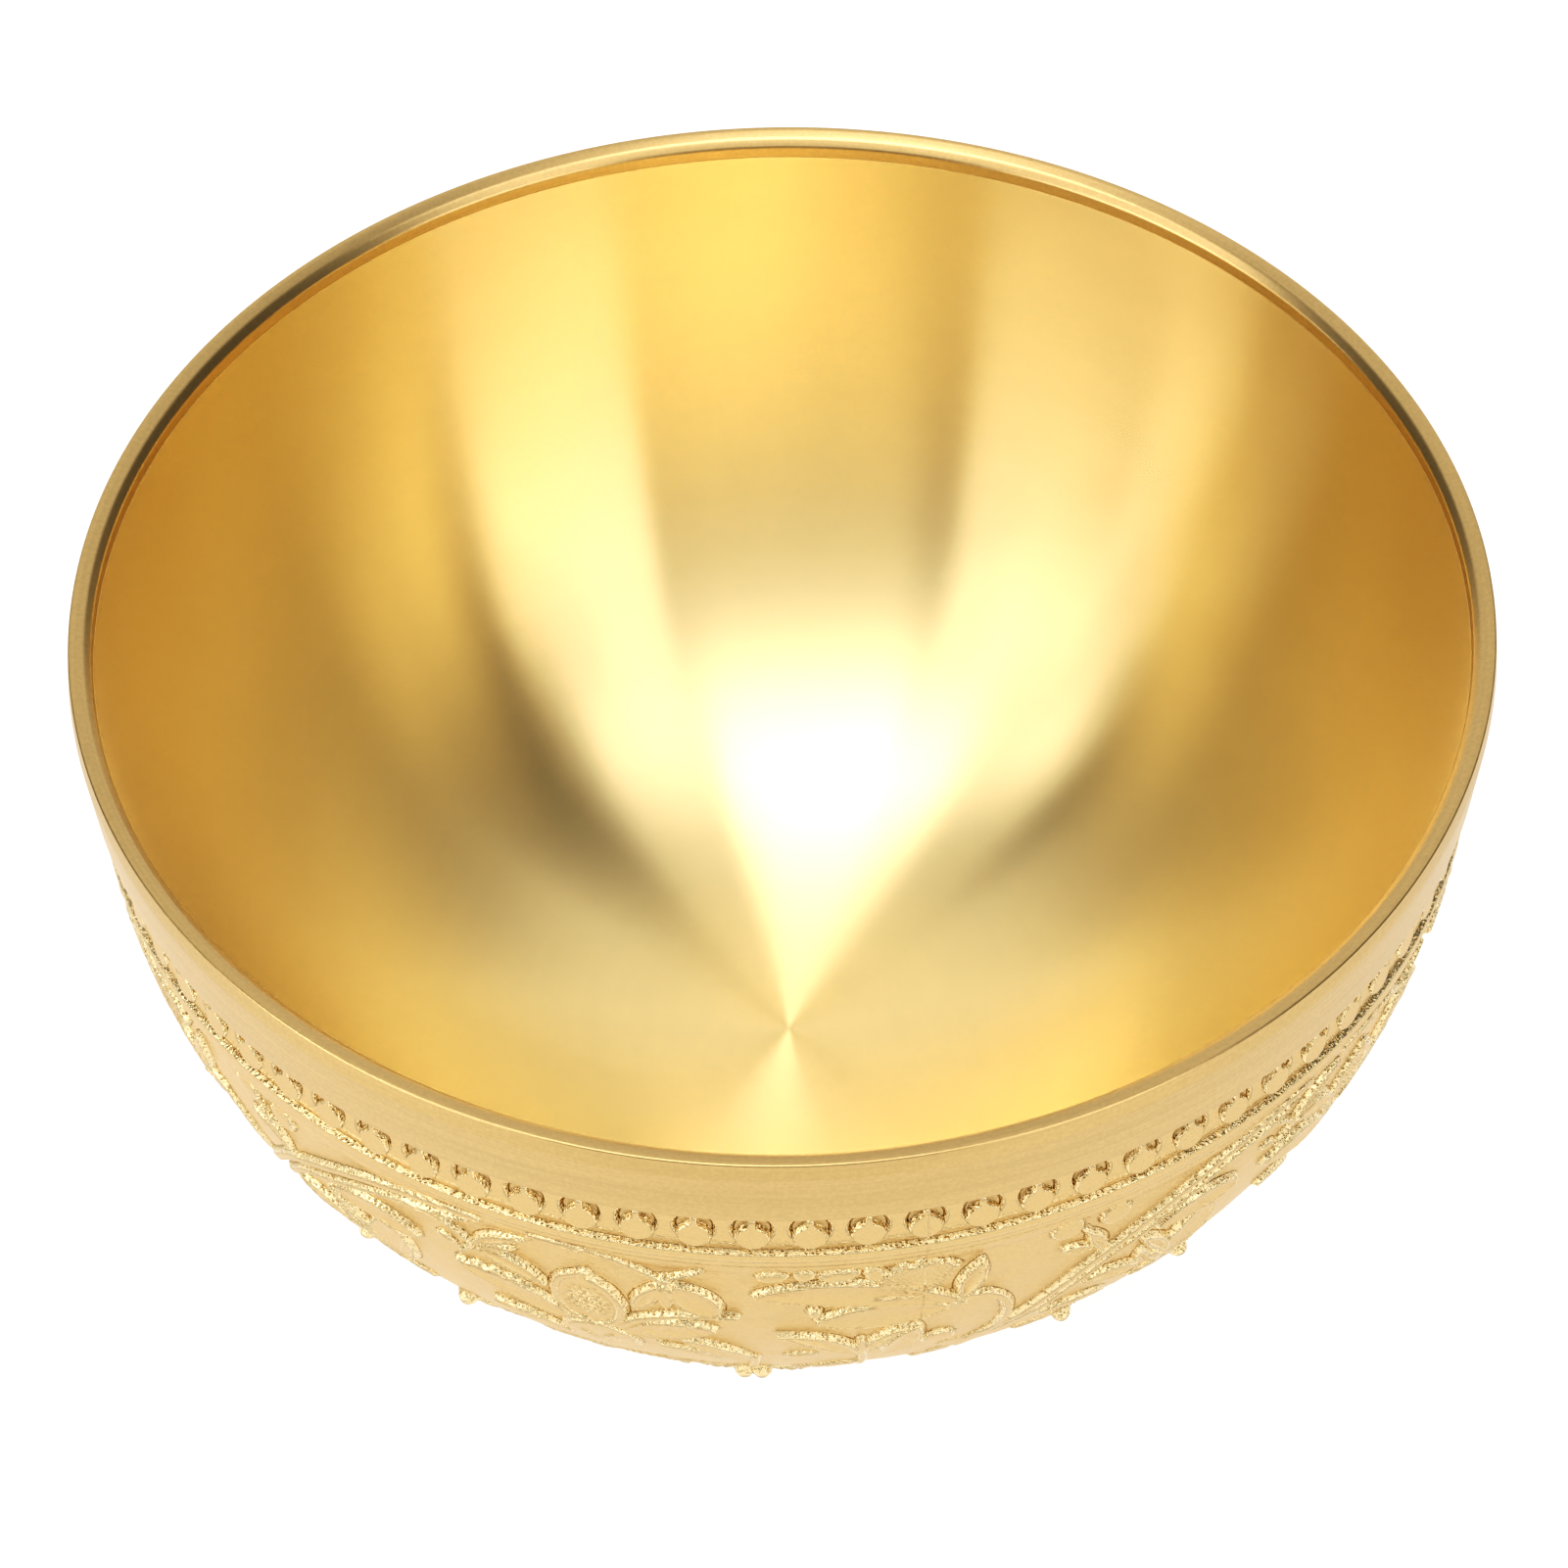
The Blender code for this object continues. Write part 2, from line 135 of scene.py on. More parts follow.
# Camera, from a fit to the rim, the studs and the outline in the photo: angles in radians, the distance
# in rim radii, and the focal length and the photo's side in pixels
CAMERA_ELEVATION = 0.810739
CAMERA_DISTANCE = 7.80588
CAMERA_PITCH = 0.0325739
CAMERA_YAW = -0.000148549
CAMERA_ROLL = -0.0177128
CAMERA_TURN = math.radians(-1.39)
FOCAL_PIXELS = 5688.0626
PHOTO_SIDE = 1601
SENSOR = 36.0

# Studio
SOFTBOX_DISTANCE = 0.9
SOFTBOX_POWER = 40.0
BOWL_MIDDLE = 0.04
FLOOR_HALF = 3.0
FLOOR_GAP = 0.00005


def smooth(value):
    """Smooth step of a value from 0 to 1."""
    value = np.clip(value, 0.0, 1.0)
    return value * value * (3.0 - 2.0 * value)


def bowl_radius(depth, top_radius, full_depth, fullness):
    """Radius of a superellipse bowl below its widest plane."""
    share = np.clip(depth / full_depth, 0.0, 1.0)
    return top_radius * (1.0 - share**fullness) ** (1.0 / fullness)


def bowl_curve(first_depth, last_radius, shape, steps):
    """(radius, depth) points down the bowl, evenly spread over its turn."""
    top_radius, full_depth, fullness = shape
    start = math.asin((first_depth / full_depth) ** (fullness / 2))
    stop = math.acos((last_radius / top_radius) ** (fullness / 2))
    points = []
    for step in range(steps + 1):
        turn = start + (stop - start) * step / steps
        radius = top_radius * max(math.cos(turn), 0.0) ** (2 / fullness)
        points.append((radius, full_depth * math.sin(turn) ** (2 / fullness)))
    return points


def rounded(outline, radius, steps=3):
    """An open (radius, depth) outline with its inner corners rounded."""
    points = [np.array(point, float) for point in outline]
    result = [tuple(points[0])]
    for before, corner, after in zip(points, points[1:], points[2:]):
        back, ahead = before - corner, after - corner
        reach = min(radius, np.linalg.norm(back) * 0.45, np.linalg.norm(ahead) * 0.45)
        start = corner + back / np.linalg.norm(back) * reach
        stop = corner + ahead / np.linalg.norm(ahead) * reach
        for step in range(steps + 1):
            share = step / steps
            blend = start * (1 - share) ** 2 + corner * 2 * share * (1 - share) + stop * share**2
            result.append(tuple(blend))
    result.append(tuple(points[-1]))
    return result


def mesh_piece(name, points, faces, flat, material, node):
    """Link a mesh piece made of millimetre points, and let it stand for a node."""
    mesh = bpy.data.meshes.new(name)
    mesh.from_pydata((np.asarray(points) * MM).tolist(), [], faces)
    mesh.polygons.foreach_set("use_smooth", ~np.asarray(flat, bool))
    mesh.materials.append(material)
    mesh.update()
    piece = bpy.data.objects.new(name, mesh)
    bpy.context.scene.collection.objects.link(piece)
    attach(piece, "root")
    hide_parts(node)
    return piece


def turned(name, outline, facets, material, node, sharp=28):
    """Turn a closed (radius, depth) outline about the axis; points at radius 0 become poles."""
    turns = np.arange(facets) / facets * 2 * math.pi
    points, rows = [], []
    for radius, depth in outline:
        first = len(points)
        if radius < 1e-6:
            points.append((0.0, 0.0, HEIGHT - depth))
            rows.append([first] * facets)
            continue
        for turn in turns:
            points.append((radius * math.cos(turn), radius * math.sin(turn), HEIGHT - depth))
        rows.append(list(range(first, first + facets)))
    faces = []
    for upper, lower in zip(rows, rows[1:] + rows[:1]):
        if upper[0] == upper[-1] and lower[0] == lower[-1]:
            continue
        for index in range(facets):
            other = (index + 1) % facets
            corners = [upper[index], upper[other], lower[other], lower[index]]
            face = [c for i, c in enumerate(corners) if c not in corners[:i]]
            faces.append(face)
    piece = mesh_piece(name, points, faces, [False] * len(faces), material, node)
    piece.data.set_sharp_from_angle(angle=math.radians(sharp))
    return piece


def shell_sector(name, azimuths, radii, depths, inner, steps, marks, material, node):
    """A closed piece of shell: a fine outer grid, coarse inner grid and flat side walls.

    radii and depths hold the outer face, row by row from the top; inner holds the radius and depth
    of the inner face for each row; steps says how many rows and columns one inner face spans. The cast
    brass reads two attributes of the points: marks becomes "height", and "steep" is the slope of the
    shell's thickness.
    """
    count_rows, count_columns = radii.shape
    turn_all = np.radians(azimuths)
    outer = np.stack([radii * np.sin(turn_all), -radii * np.cos(turn_all), HEIGHT - depths], -1)
    row_pick = sorted(set(list(range(0, count_rows, steps[0])) + [count_rows - 1]))
    column_pick = sorted(set(list(range(0, count_columns, steps[1])) + [count_columns - 1]))
    inner_radius = inner[0][row_pick][:, None]
    inner_depth = inner[1][row_pick][:, None] + np.zeros((1, len(column_pick)))
    turn = turn_all[column_pick][None, :]
    back = np.stack([inner_radius * np.sin(turn), -inner_radius * np.cos(turn), HEIGHT - inner_depth], -1)
    points = np.concatenate([outer.reshape(-1, 3), back.reshape(-1, 3)])
    grid = np.arange(count_rows * count_columns).reshape(count_rows, count_columns)
    behind = count_rows * count_columns + np.arange(len(row_pick) * len(column_pick))
    behind = behind.reshape(len(row_pick), len(column_pick))
    quads = np.stack([grid[:-1, :-1], grid[1:, :-1], grid[1:, 1:], grid[:-1, 1:]], -1)
    faces = quads.reshape(-1, 4).tolist()
    smooth_faces = len(faces)
    quads = np.stack([behind[:-1, :-1], behind[:-1, 1:], behind[1:, 1:], behind[1:, :-1]], -1)
    faces += quads.reshape(-1, 4).tolist()
    for index, (first, last) in enumerate(zip(column_pick, column_pick[1:])):
        faces.append(grid[0, first : last + 1].tolist() + [int(behind[0, index + 1]), int(behind[0, index])])
        lower = grid[-1, first : last + 1][::-1].tolist()
        faces.append(lower + [int(behind[-1, index]), int(behind[-1, index + 1])])
    for index, (first, last) in enumerate(zip(row_pick, row_pick[1:])):
        side = grid[first : last + 1, 0][::-1].tolist()
        faces.append(side + [int(behind[index, 0]), int(behind[index + 1, 0])])
        side = grid[first : last + 1, -1].tolist()
        faces.append(side + [int(behind[index + 1, -1]), int(behind[index, -1])])
    flat = [False] * smooth_faces + [True] * (len(faces) - smooth_faces)
    piece = mesh_piece(name, points, faces, flat, material, node)
    base_radius, base_depth = inner[0][:, None], inner[1][:, None]
    across, toward = base_radius * np.sin(turn_all), -base_radius * np.cos(turn_all)
    base = np.stack([across, toward, HEIGHT - base_depth + 0 * across], -1)
    thickness = np.linalg.norm(outer - base, axis=2)
    row_pitch = np.hypot(np.gradient(inner[0]), np.gradient(inner[1]))[:, None]
    column_pitch = base_radius * np.gradient(turn_all)[None, :]
    down, aside = np.gradient(thickness, axis=0), np.gradient(thickness, axis=1)
    steep = np.hypot(down / row_pitch, aside / column_pitch)
    for key, field in (("height", marks), ("steep", steep)):
        layer = piece.data.attributes.new(key, "FLOAT", "POINT")
        values = np.zeros(len(points), np.float32)
        values[: field.size] = field.ravel()
        layer.data.foreach_set("value", values)
    return piece


# Materials


class Shader:
    """A node material that is built step by step."""

    def __init__(self, name, metallic=1.0):
        self.material = bpy.data.materials.new(name)
        self.material.use_nodes = True
        self.tree = self.material.node_tree
        self.surface = self.tree.nodes["Principled BSDF"]
        self.set(self.surface, {"Metallic": metallic})

    def set(self, node, values):
        """Set or link the inputs of a node."""
        for key, value in values.items():
            if isinstance(value, bpy.types.NodeSocket):
                self.tree.links.new(value, node.inputs[key])
            else:
                node.inputs[key].default_value = value
        return node

    def add(self, kind, values, **settings):
        """Add a node with its settings and inputs."""
        node = self.tree.nodes.new(kind)
        for key, value in settings.items():
            setattr(node, key, value)
        return self.set(node, values)

    def math(self, operation, first, second=0.0):
        """One sum on two numbers or sockets."""
        return self.add("ShaderNodeMath", {0: first, 1: second}, operation=operation).outputs[0]

    def ramp(self, value, low, high, first, last):
        """Map a value from low..high to first..last."""
        inputs = {0: value, 1: low, 2: high, 3: first, 4: last}
        return self.add("ShaderNodeMapRange", inputs, interpolation_type="SMOOTHSTEP").outputs[0]

    def position(self):
        """The point in object space and its distance from the axis, in millimetres."""
        place = self.add("ShaderNodeTexCoord", {}).outputs["Object"]
        scaled = self.add("ShaderNodeVectorMath", {0: place, "Scale": 1 / MM}, operation="SCALE").outputs[0]
        split = self.add("ShaderNodeSeparateXYZ", {0: scaled}).outputs
        squares = [self.math("MULTIPLY", split[axis], split[axis]) for axis in (0, 1)]
        return scaled, split, self.math("SQRT", self.math("ADD", squares[0], squares[1]))

    def rings(self, split, radius, fine, drift, shift=0.0):
        """Noise that runs in rings about the axis, and changes slowly along each ring."""
        across = self.math("MULTIPLY", self.math("DIVIDE", split[0], radius), drift)
        along = self.math("MULTIPLY", self.math("DIVIDE", split[1], radius), drift)
        level = self.math("MULTIPLY", split[2], fine)
        reach = self.math("MULTIPLY", radius, fine)
        vector = self.add("ShaderNodeCombineXYZ", {0: reach, 1: level, 2: across}).outputs[0]
        inputs = {"Vector": vector, "W": self.math("ADD", along, shift), "Scale": 1.0, "Detail": 3.0}
        return self.add("ShaderNodeTexNoise", inputs, noise_dimensions="4D").outputs[0]

    def noise(self, vector, scale, detail=3.0, rough=0.5):
        """Plain noise of a scale in waves per millimetre."""
        inputs = {"Vector": vector, "Scale": scale, "Detail": detail, "Roughness": rough}
        return self.add("ShaderNodeTexNoise", inputs).outputs[0]

    def tint(self, colour, value, low, high):
        """A colour made darker or lighter by a value from 0 to 1."""
        shade = self.ramp(value, 0.3, 0.7, low, high)
        mixed = self.add("ShaderNodeVectorMath", {0: colour, "Scale": shade}, operation="SCALE")
        return mixed.outputs[0]

    def mix(self, share, first, second):
        """Blend two colours."""
        return self.add("ShaderNodeMix", {0: share, 6: first, 7: second}, data_type="RGBA").outputs[2]

    def bump(self, height, distance, normal=None):
        """A bump whose height of 1 stands for a distance in millimetres, on top of another normal."""
        inputs = {"Height": height, "Distance": distance * MM, "Strength": 1.0}
        if normal is not None:
            inputs["Normal"] = normal
        return self.add("ShaderNodeBump", inputs).outputs[0]


def brushed_brass(name, colour, roughness, streak, fine, cut, shade):
    """Brass turned or spun on a lathe: fine rings that spread highlights across themselves.

    streak is the shader's anisotropy, fine the rings' scale in waves per millimetre, cut their depth in
    millimetres, and shade how far the rings and the grain make the colour lighter or darker.
    """
    shader = Shader(name)
    place, split, radius = shader.position()
    close = shader.rings(split, radius, fine, 2.5)
    broad = shader.rings(split, radius, fine / 9, 1.2, shift=7.0)
    grain = shader.noise(place, 3.0, detail=2.0)
    mixed = shader.math("ADD", shader.math("MULTIPLY", close, 0.6), shader.math("MULTIPLY", broad, 0.4))
    tangent = shader.add("ShaderNodeTangent", {}, direction_type="RADIAL", axis="Z").outputs[0]
    tone = shader.math("ADD", shader.math("MULTIPLY", mixed, 0.6), shader.math("MULTIPLY", grain, 0.4))
    normal = shader.bump(close, cut)
    normal = shader.bump(grain, 0.0012, normal)
    shader.set(
        shader.surface,
        {
            "Base Color": shader.tint(colour, tone, 1.0 - shade, 1.0 + shade),
            "Roughness": roughness,
            "Anisotropic": streak,
            "Anisotropic Rotation": 0.25,
            "Tangent": tangent,
            "Normal": normal,
        },
    )
    return shader.material


def cast_brass(name, colour, worn_and_highlight_colour, roughness):
    """Brass as cast and tumbled: granular, with painted shade in the hollows, and smoother and paler on
    steep edges, where the paler colour is partly worn brass and partly a painted highlight.
    """
    shader = Shader(name)
    place = shader.position()[0]
    grain = shader.noise(place, 4.0, detail=3.0, rough=0.6)
    lumps = shader.noise(place, 1.7, detail=3.0, rough=0.6)
    cells = shader.add("ShaderNodeTexVoronoi", {"Vector": place, "Scale": 3.4}).outputs["Distance"]
    height = shader.add("ShaderNodeAttribute", {}, attribute_name="height").outputs["Fac"]
    steep = shader.add("ShaderNodeAttribute", {}, attribute_name="steep").outputs["Fac"]
    # Painted shade: the low parts by the height attribute, the hollows, recess floors and gutter, take a
    # darker tint
    out_of_painted_shade = shader.ramp(height, 0.02, 0.12, 0.0, 1.0)
    slope = shader.ramp(steep, 0.15, 0.75, 0.0, 1.0)
    # Painted highlight: steep, high parts take a paler colour, partly worn brass and partly painted light
    crest_highlight_share = shader.math("MULTIPLY", slope, shader.ramp(height, 0.1, 0.4, 0.15, 1.0))
    pits = shader.ramp(cells, 0.0, 0.5, 0.0, 1.0)
    worn = shader.ramp(steep, 0.15, 0.7, roughness, roughness - 0.2)
    rough = shader.math("ADD", worn, shader.ramp(grain, 0.35, 0.65, -0.03, 0.05))
    coarse = shader.math("ADD", pits, lumps)
    sparkle = shader.math("MULTIPLY", coarse, shader.ramp(steep, 0.1, 0.9, 0.1, 1.0))
    normal = shader.bump(grain, 0.075)
    normal = shader.bump(sparkle, 0.16, normal)
    painted_shade_tint = shader.tint(colour, grain, 0.84, 0.96)
    face_tint = shader.tint(colour, grain, 0.97, 1.05)
    worn_and_highlight_tint = shader.tint(worn_and_highlight_colour, grain, 0.88, 1.02)
    base = shader.mix(out_of_painted_shade, painted_shade_tint, face_tint)
    base = shader.mix(crest_highlight_share, base, worn_and_highlight_tint)
    shader.set(shader.surface, {"Base Color": base, "Roughness": rough, "Normal": normal})
    return shader.material


SPUN_COLOUR = (0.95, 0.765, 0.41)
TURNED_COLOUR = (0.66, 0.465, 0.21)
CAST_COLOUR = (0.73, 0.525, 0.25)
# Paler colour for steep edges: partly worn brass, partly a painted highlight
WORN_AND_HIGHLIGHT_COLOUR = (0.98, 0.78, 0.44)

SPUN = brushed_brass("spun_brass", SPUN_COLOUR, 0.26, streak=1.0, fine=2.2, cut=0.0001, shade=0.02)
LATHE = brushed_brass("lathe_brass", TURNED_COLOUR, 0.32, streak=0.6, fine=3.0, cut=0.008, shade=0.09)
FOOT = brushed_brass("foot_brass", TURNED_COLOUR, 0.34, streak=0.6, fine=2.4, cut=0.004, shade=0.06)
CAST = cast_brass("cast_brass", CAST_COLOUR, WORN_AND_HIGHLIGHT_COLOUR, 0.38)


# Turned pieces


def make_collar():
    """Lip that slopes to the inside, and the plain band with its two facets."""
    hidden = [(SEAM_RADIUS + 0.34, BAND_DEPTH), (SEAM_RADIUS + 0.5, SEAM_DEPTH + 0.35)]
    shown = [
        (SEAM_RADIUS, SEAM_DEPTH),
        (SEAM_RADIUS + 0.05, 0.78),
        (SEAM_RADIUS + 0.62, 0.27),
        (RIM_RADIUS - 0.5, 0.0),
        (RIM_RADIUS - 0.15, 0.0),
        (RIM_RADIUS, 1.55),
        (RIM_RADIUS - 0.55, BAND_DEPTH - 0.35),
        (RIM_RADIUS - 0.86, BAND_DEPTH),
        hidden[0],
    ]
    outline = hidden + rounded(shown, 0.18, 5)[:-1]
    return turned("turned_rim", outline[::-1], 360, LATHE, "rim_collar", 40)


def make_liner():
    """Spun inside, whose edge meets the underside of the lip in a fine seam."""
    full = LINER_DEPTH + LINER_RISE
    top = SEAM_RADIUS / bowl_radius(SEAM_DEPTH + LINER_RISE, 1.0, full, LINER_FULLNESS)
    first = SEAM_DEPTH + 0.05
    inside = bowl_curve(first + LINER_RISE, 0.0, (top, full, LINER_FULLNESS), 110)
    outside = bowl_curve(first + LINER_RISE, 0.0, (top + 0.33, full + 0.6, LINER_FULLNESS), 40)
    outline = [(radius, depth - LINER_RISE) for radius, depth in inside]
    outline += [(radius, depth - LINER_RISE) for radius, depth in outside[::-1]]
    outline.insert(0, (SEAM_RADIUS + 0.06, first - 0.02))
    return turned("spun_liner", outline, 288, SPUN, "inner_liner", 40)


def make_foot():
    """Turned foot ring: neck, cove, flared pad and flat sole."""
    start = (FOOT_INNER, SEAT_DEPTH + 0.3)
    corners = [
        start,
        (FOOT_TOP, SEAT_DEPTH + 0.3),
        (FOOT_TOP, SEAT_DEPTH + 0.9),
        (FOOT_TOP - 0.55, SEAT_DEPTH + 1.7),
        (FOOT_TOP - 0.4, SEAT_DEPTH + 3.2),
        (FOOT_PAD, HEIGHT - 1.0),
        (FOOT_PAD, HEIGHT - 0.3),
        (FOOT_PAD - 0.3, HEIGHT),
        (FOOT_INNER + 0.7, HEIGHT),
        (FOOT_INNER + 0.4, HEIGHT - 0.3),
        start,
    ]
    outline = rounded(corners, 0.25, 4)[1:]
    return turned("turned_foot", outline[::-1], 288, FOOT, "foot_ring")


def make_base():
    """Plain underside of the jacket: the turned seat for the foot and the base inside it."""
    shape = (JACKET_RADIUS, JACKET_DEPTH, JACKET_FULLNESS)
    inner = (JACKET_RADIUS - BASE_THICKNESS, JACKET_DEPTH - BASE_THICKNESS, JACKET_FULLNESS)
    corners = [
        (RELIEF_RADIUS[-1], RELIEF_DEPTH[-1]),
        (SEAT_OUTER, SEAT_DEPTH - 1.1),
        (SEAT_OUTER, SEAT_DEPTH),
        (SEAT_INNER, SEAT_DEPTH),
    ]
    outline = rounded(corners, 0.15, 3)
    outline += bowl_curve(SEAT_DEPTH, 0.0, shape, 24)[1:]
    outline += bowl_curve(RELIEF_DEPTH[-1] - 0.6, 0.0, inner, 24)[::-1]
    base = turned("jacket_base", outline[::-1], 288, CAST, "relief_jacket")
    marks = base.data.attributes.new("height", "FLOAT", "POINT")
    marks.data.foreach_set("value", np.full(len(base.data.vertices), PLAIN_MARK))
    return base


# Stud belt


def jacket_sector(name, azimuths, radii, depths, inner, steps, marks):
    """A sector of the jacket's shell in cast brass; depths may be one column that all azimuths share."""
    grid = np.broadcast_to(depths, radii.shape)
    return shell_sector(name, azimuths, radii, grid, inner, steps, marks, CAST, "relief_jacket")


def belt_radii(across, depth):
    """Radius of the belt's face at distances across from the nearest stud, for depths below the rim."""
    below = depth - STUD_DEPTH
    floor = smooth((RECESS_RADIUS - np.hypot(across, below + RECESS_RISE)) / RECESS_EDGE + 0.4)
    disc = smooth((STUD_RADIUS - np.hypot(across, below)) / STUD_EDGE + 0.5)
    half = NECK_HALF + NECK_FLARE * np.clip((below + 1.5) / 0.5, 0.0, 1.0) ** 2
    neck = smooth((half - np.abs(across)) / STUD_EDGE + 0.5) * (below < 0.0)
    neck = neck * smooth((below + 2.5) / 0.7)
    stud = np.maximum(disc, neck)
    lip = 0.06 * np.exp(-(((depth - BELT_FOOT + 0.1) / 0.09) ** 2))
    face = BELT_RADIUS + lip
    face = face + (FLOOR_RADIUS - face) * floor
    gutter = smooth((depth - BELT_FOOT) / 0.12 + 0.5)
    face = face + (GUTTER_RADIUS - face) * gutter
    face = face + (STUD_FACE - face) * stud
    ridge = smooth((depth - RIDGE_TOP) / 0.3)
    return np.where(ridge > 0, face + (RIDGE_RADIUS - face) * ridge, face)


def make_belt(index):
    """One fifth of the stud row, with its gutter and the ridge under it."""
    columns = STUD_COUNT // SECTORS * STUD_COLUMNS
    azimuths = SEAM_AZIMUTH + PERIOD * (index - 1) + np.linspace(0.0, PERIOD, columns + 1)
    pitch = 360.0 / STUD_COUNT
    across = (azimuths - np.round(azimuths / pitch) * pitch) * math.radians(1.0) * BELT_RADIUS
    rows = np.arange(BAND_DEPTH - 0.35, RIDGE_TOP, BELT_ROW)
    ridge_rows = RIDGE_TOP + np.array([0.0, 0.08, 0.16, 0.24, 0.32, 0.5, 0.8])
    depths = np.concatenate([rows, ridge_rows])
    radii = belt_radii(across[None, :], depths[:, None])
    strip = strip_curve()
    depths = np.concatenate([depths, strip[:, 1]])
    radii = np.concatenate([radii, np.repeat(strip[:, :1], len(azimuths), 1)])
    from_seam = (azimuths - SEAM_AZIMUTH) * math.radians(1.0) * JACKET_RADIUS
    radii = radii + SEAM_PROUD * np.exp(-((from_seam / SEAM_WIDTH) ** 2))[None, :]
    inner = (np.full(len(depths), BELT_BACK), depths)
    marks = np.clip((radii - FLOOR_RADIUS) * 1.2, 0.0, 1.0)
    return jacket_sector(f"stud_belt_{index + 1}", azimuths, radii, depths[:, None], inner, (8, 32), marks)


def jacket_table():
    """Arc length, radius and depth down the jacket from the ridge's foot, closer where it turns under."""
    turn = 50.0
    depth = np.concatenate([np.linspace(RIDGE_FOOT, turn, 1500), np.linspace(turn, RELIEF_END, 400)[1:]])
    radius = bowl_radius(depth, JACKET_RADIUS, JACKET_DEPTH, JACKET_FULLNESS)
    length = np.concatenate([[0.0], np.cumsum(np.hypot(np.diff(radius), np.diff(depth)))])
    return length, radius, depth


CURVE = jacket_table()


def strip_curve():
    """(radius, depth) points of the ridge's flat strip, from its upper face to the relief's top edge."""
    lengths = np.linspace(-0.2, STRIP_END - 0.1, 5)
    depth = RIDGE_FOOT + lengths
    radius = bowl_radius(depth, JACKET_RADIUS, JACKET_DEPTH, JACKET_FULLNESS) + STRIP_PROUD
    return np.stack([radius, depth], -1)


def relief_grid():
    """Arc lengths, radii, depths and outward direction of the relief's rows, fine where the photo sees."""
    fine = np.arange(STRIP_END - 0.1, SEEN_LENGTH, FINE_ROW)
    lengths = np.concatenate([fine, np.arange(SEEN_LENGTH, CURVE[0][-1], COARSE_ROW)])
    radius = np.interp(lengths, CURVE[0], CURVE[1])
    depth = np.interp(lengths, CURVE[0], CURVE[2])
    along = np.stack([np.gradient(radius, lengths), np.gradient(depth, lengths)])
    along /= np.linalg.norm(along, axis=0)
    return lengths, radius, depth, along[1], -along[0]


LENGTHS, RELIEF_RADIUS, RELIEF_DEPTH, OUTWARD, DOWNWARD = relief_grid()
AZIMUTHS = SEAM_AZIMUTH - PERIOD + np.linspace(0.0, PERIOD, COLUMNS + 1)


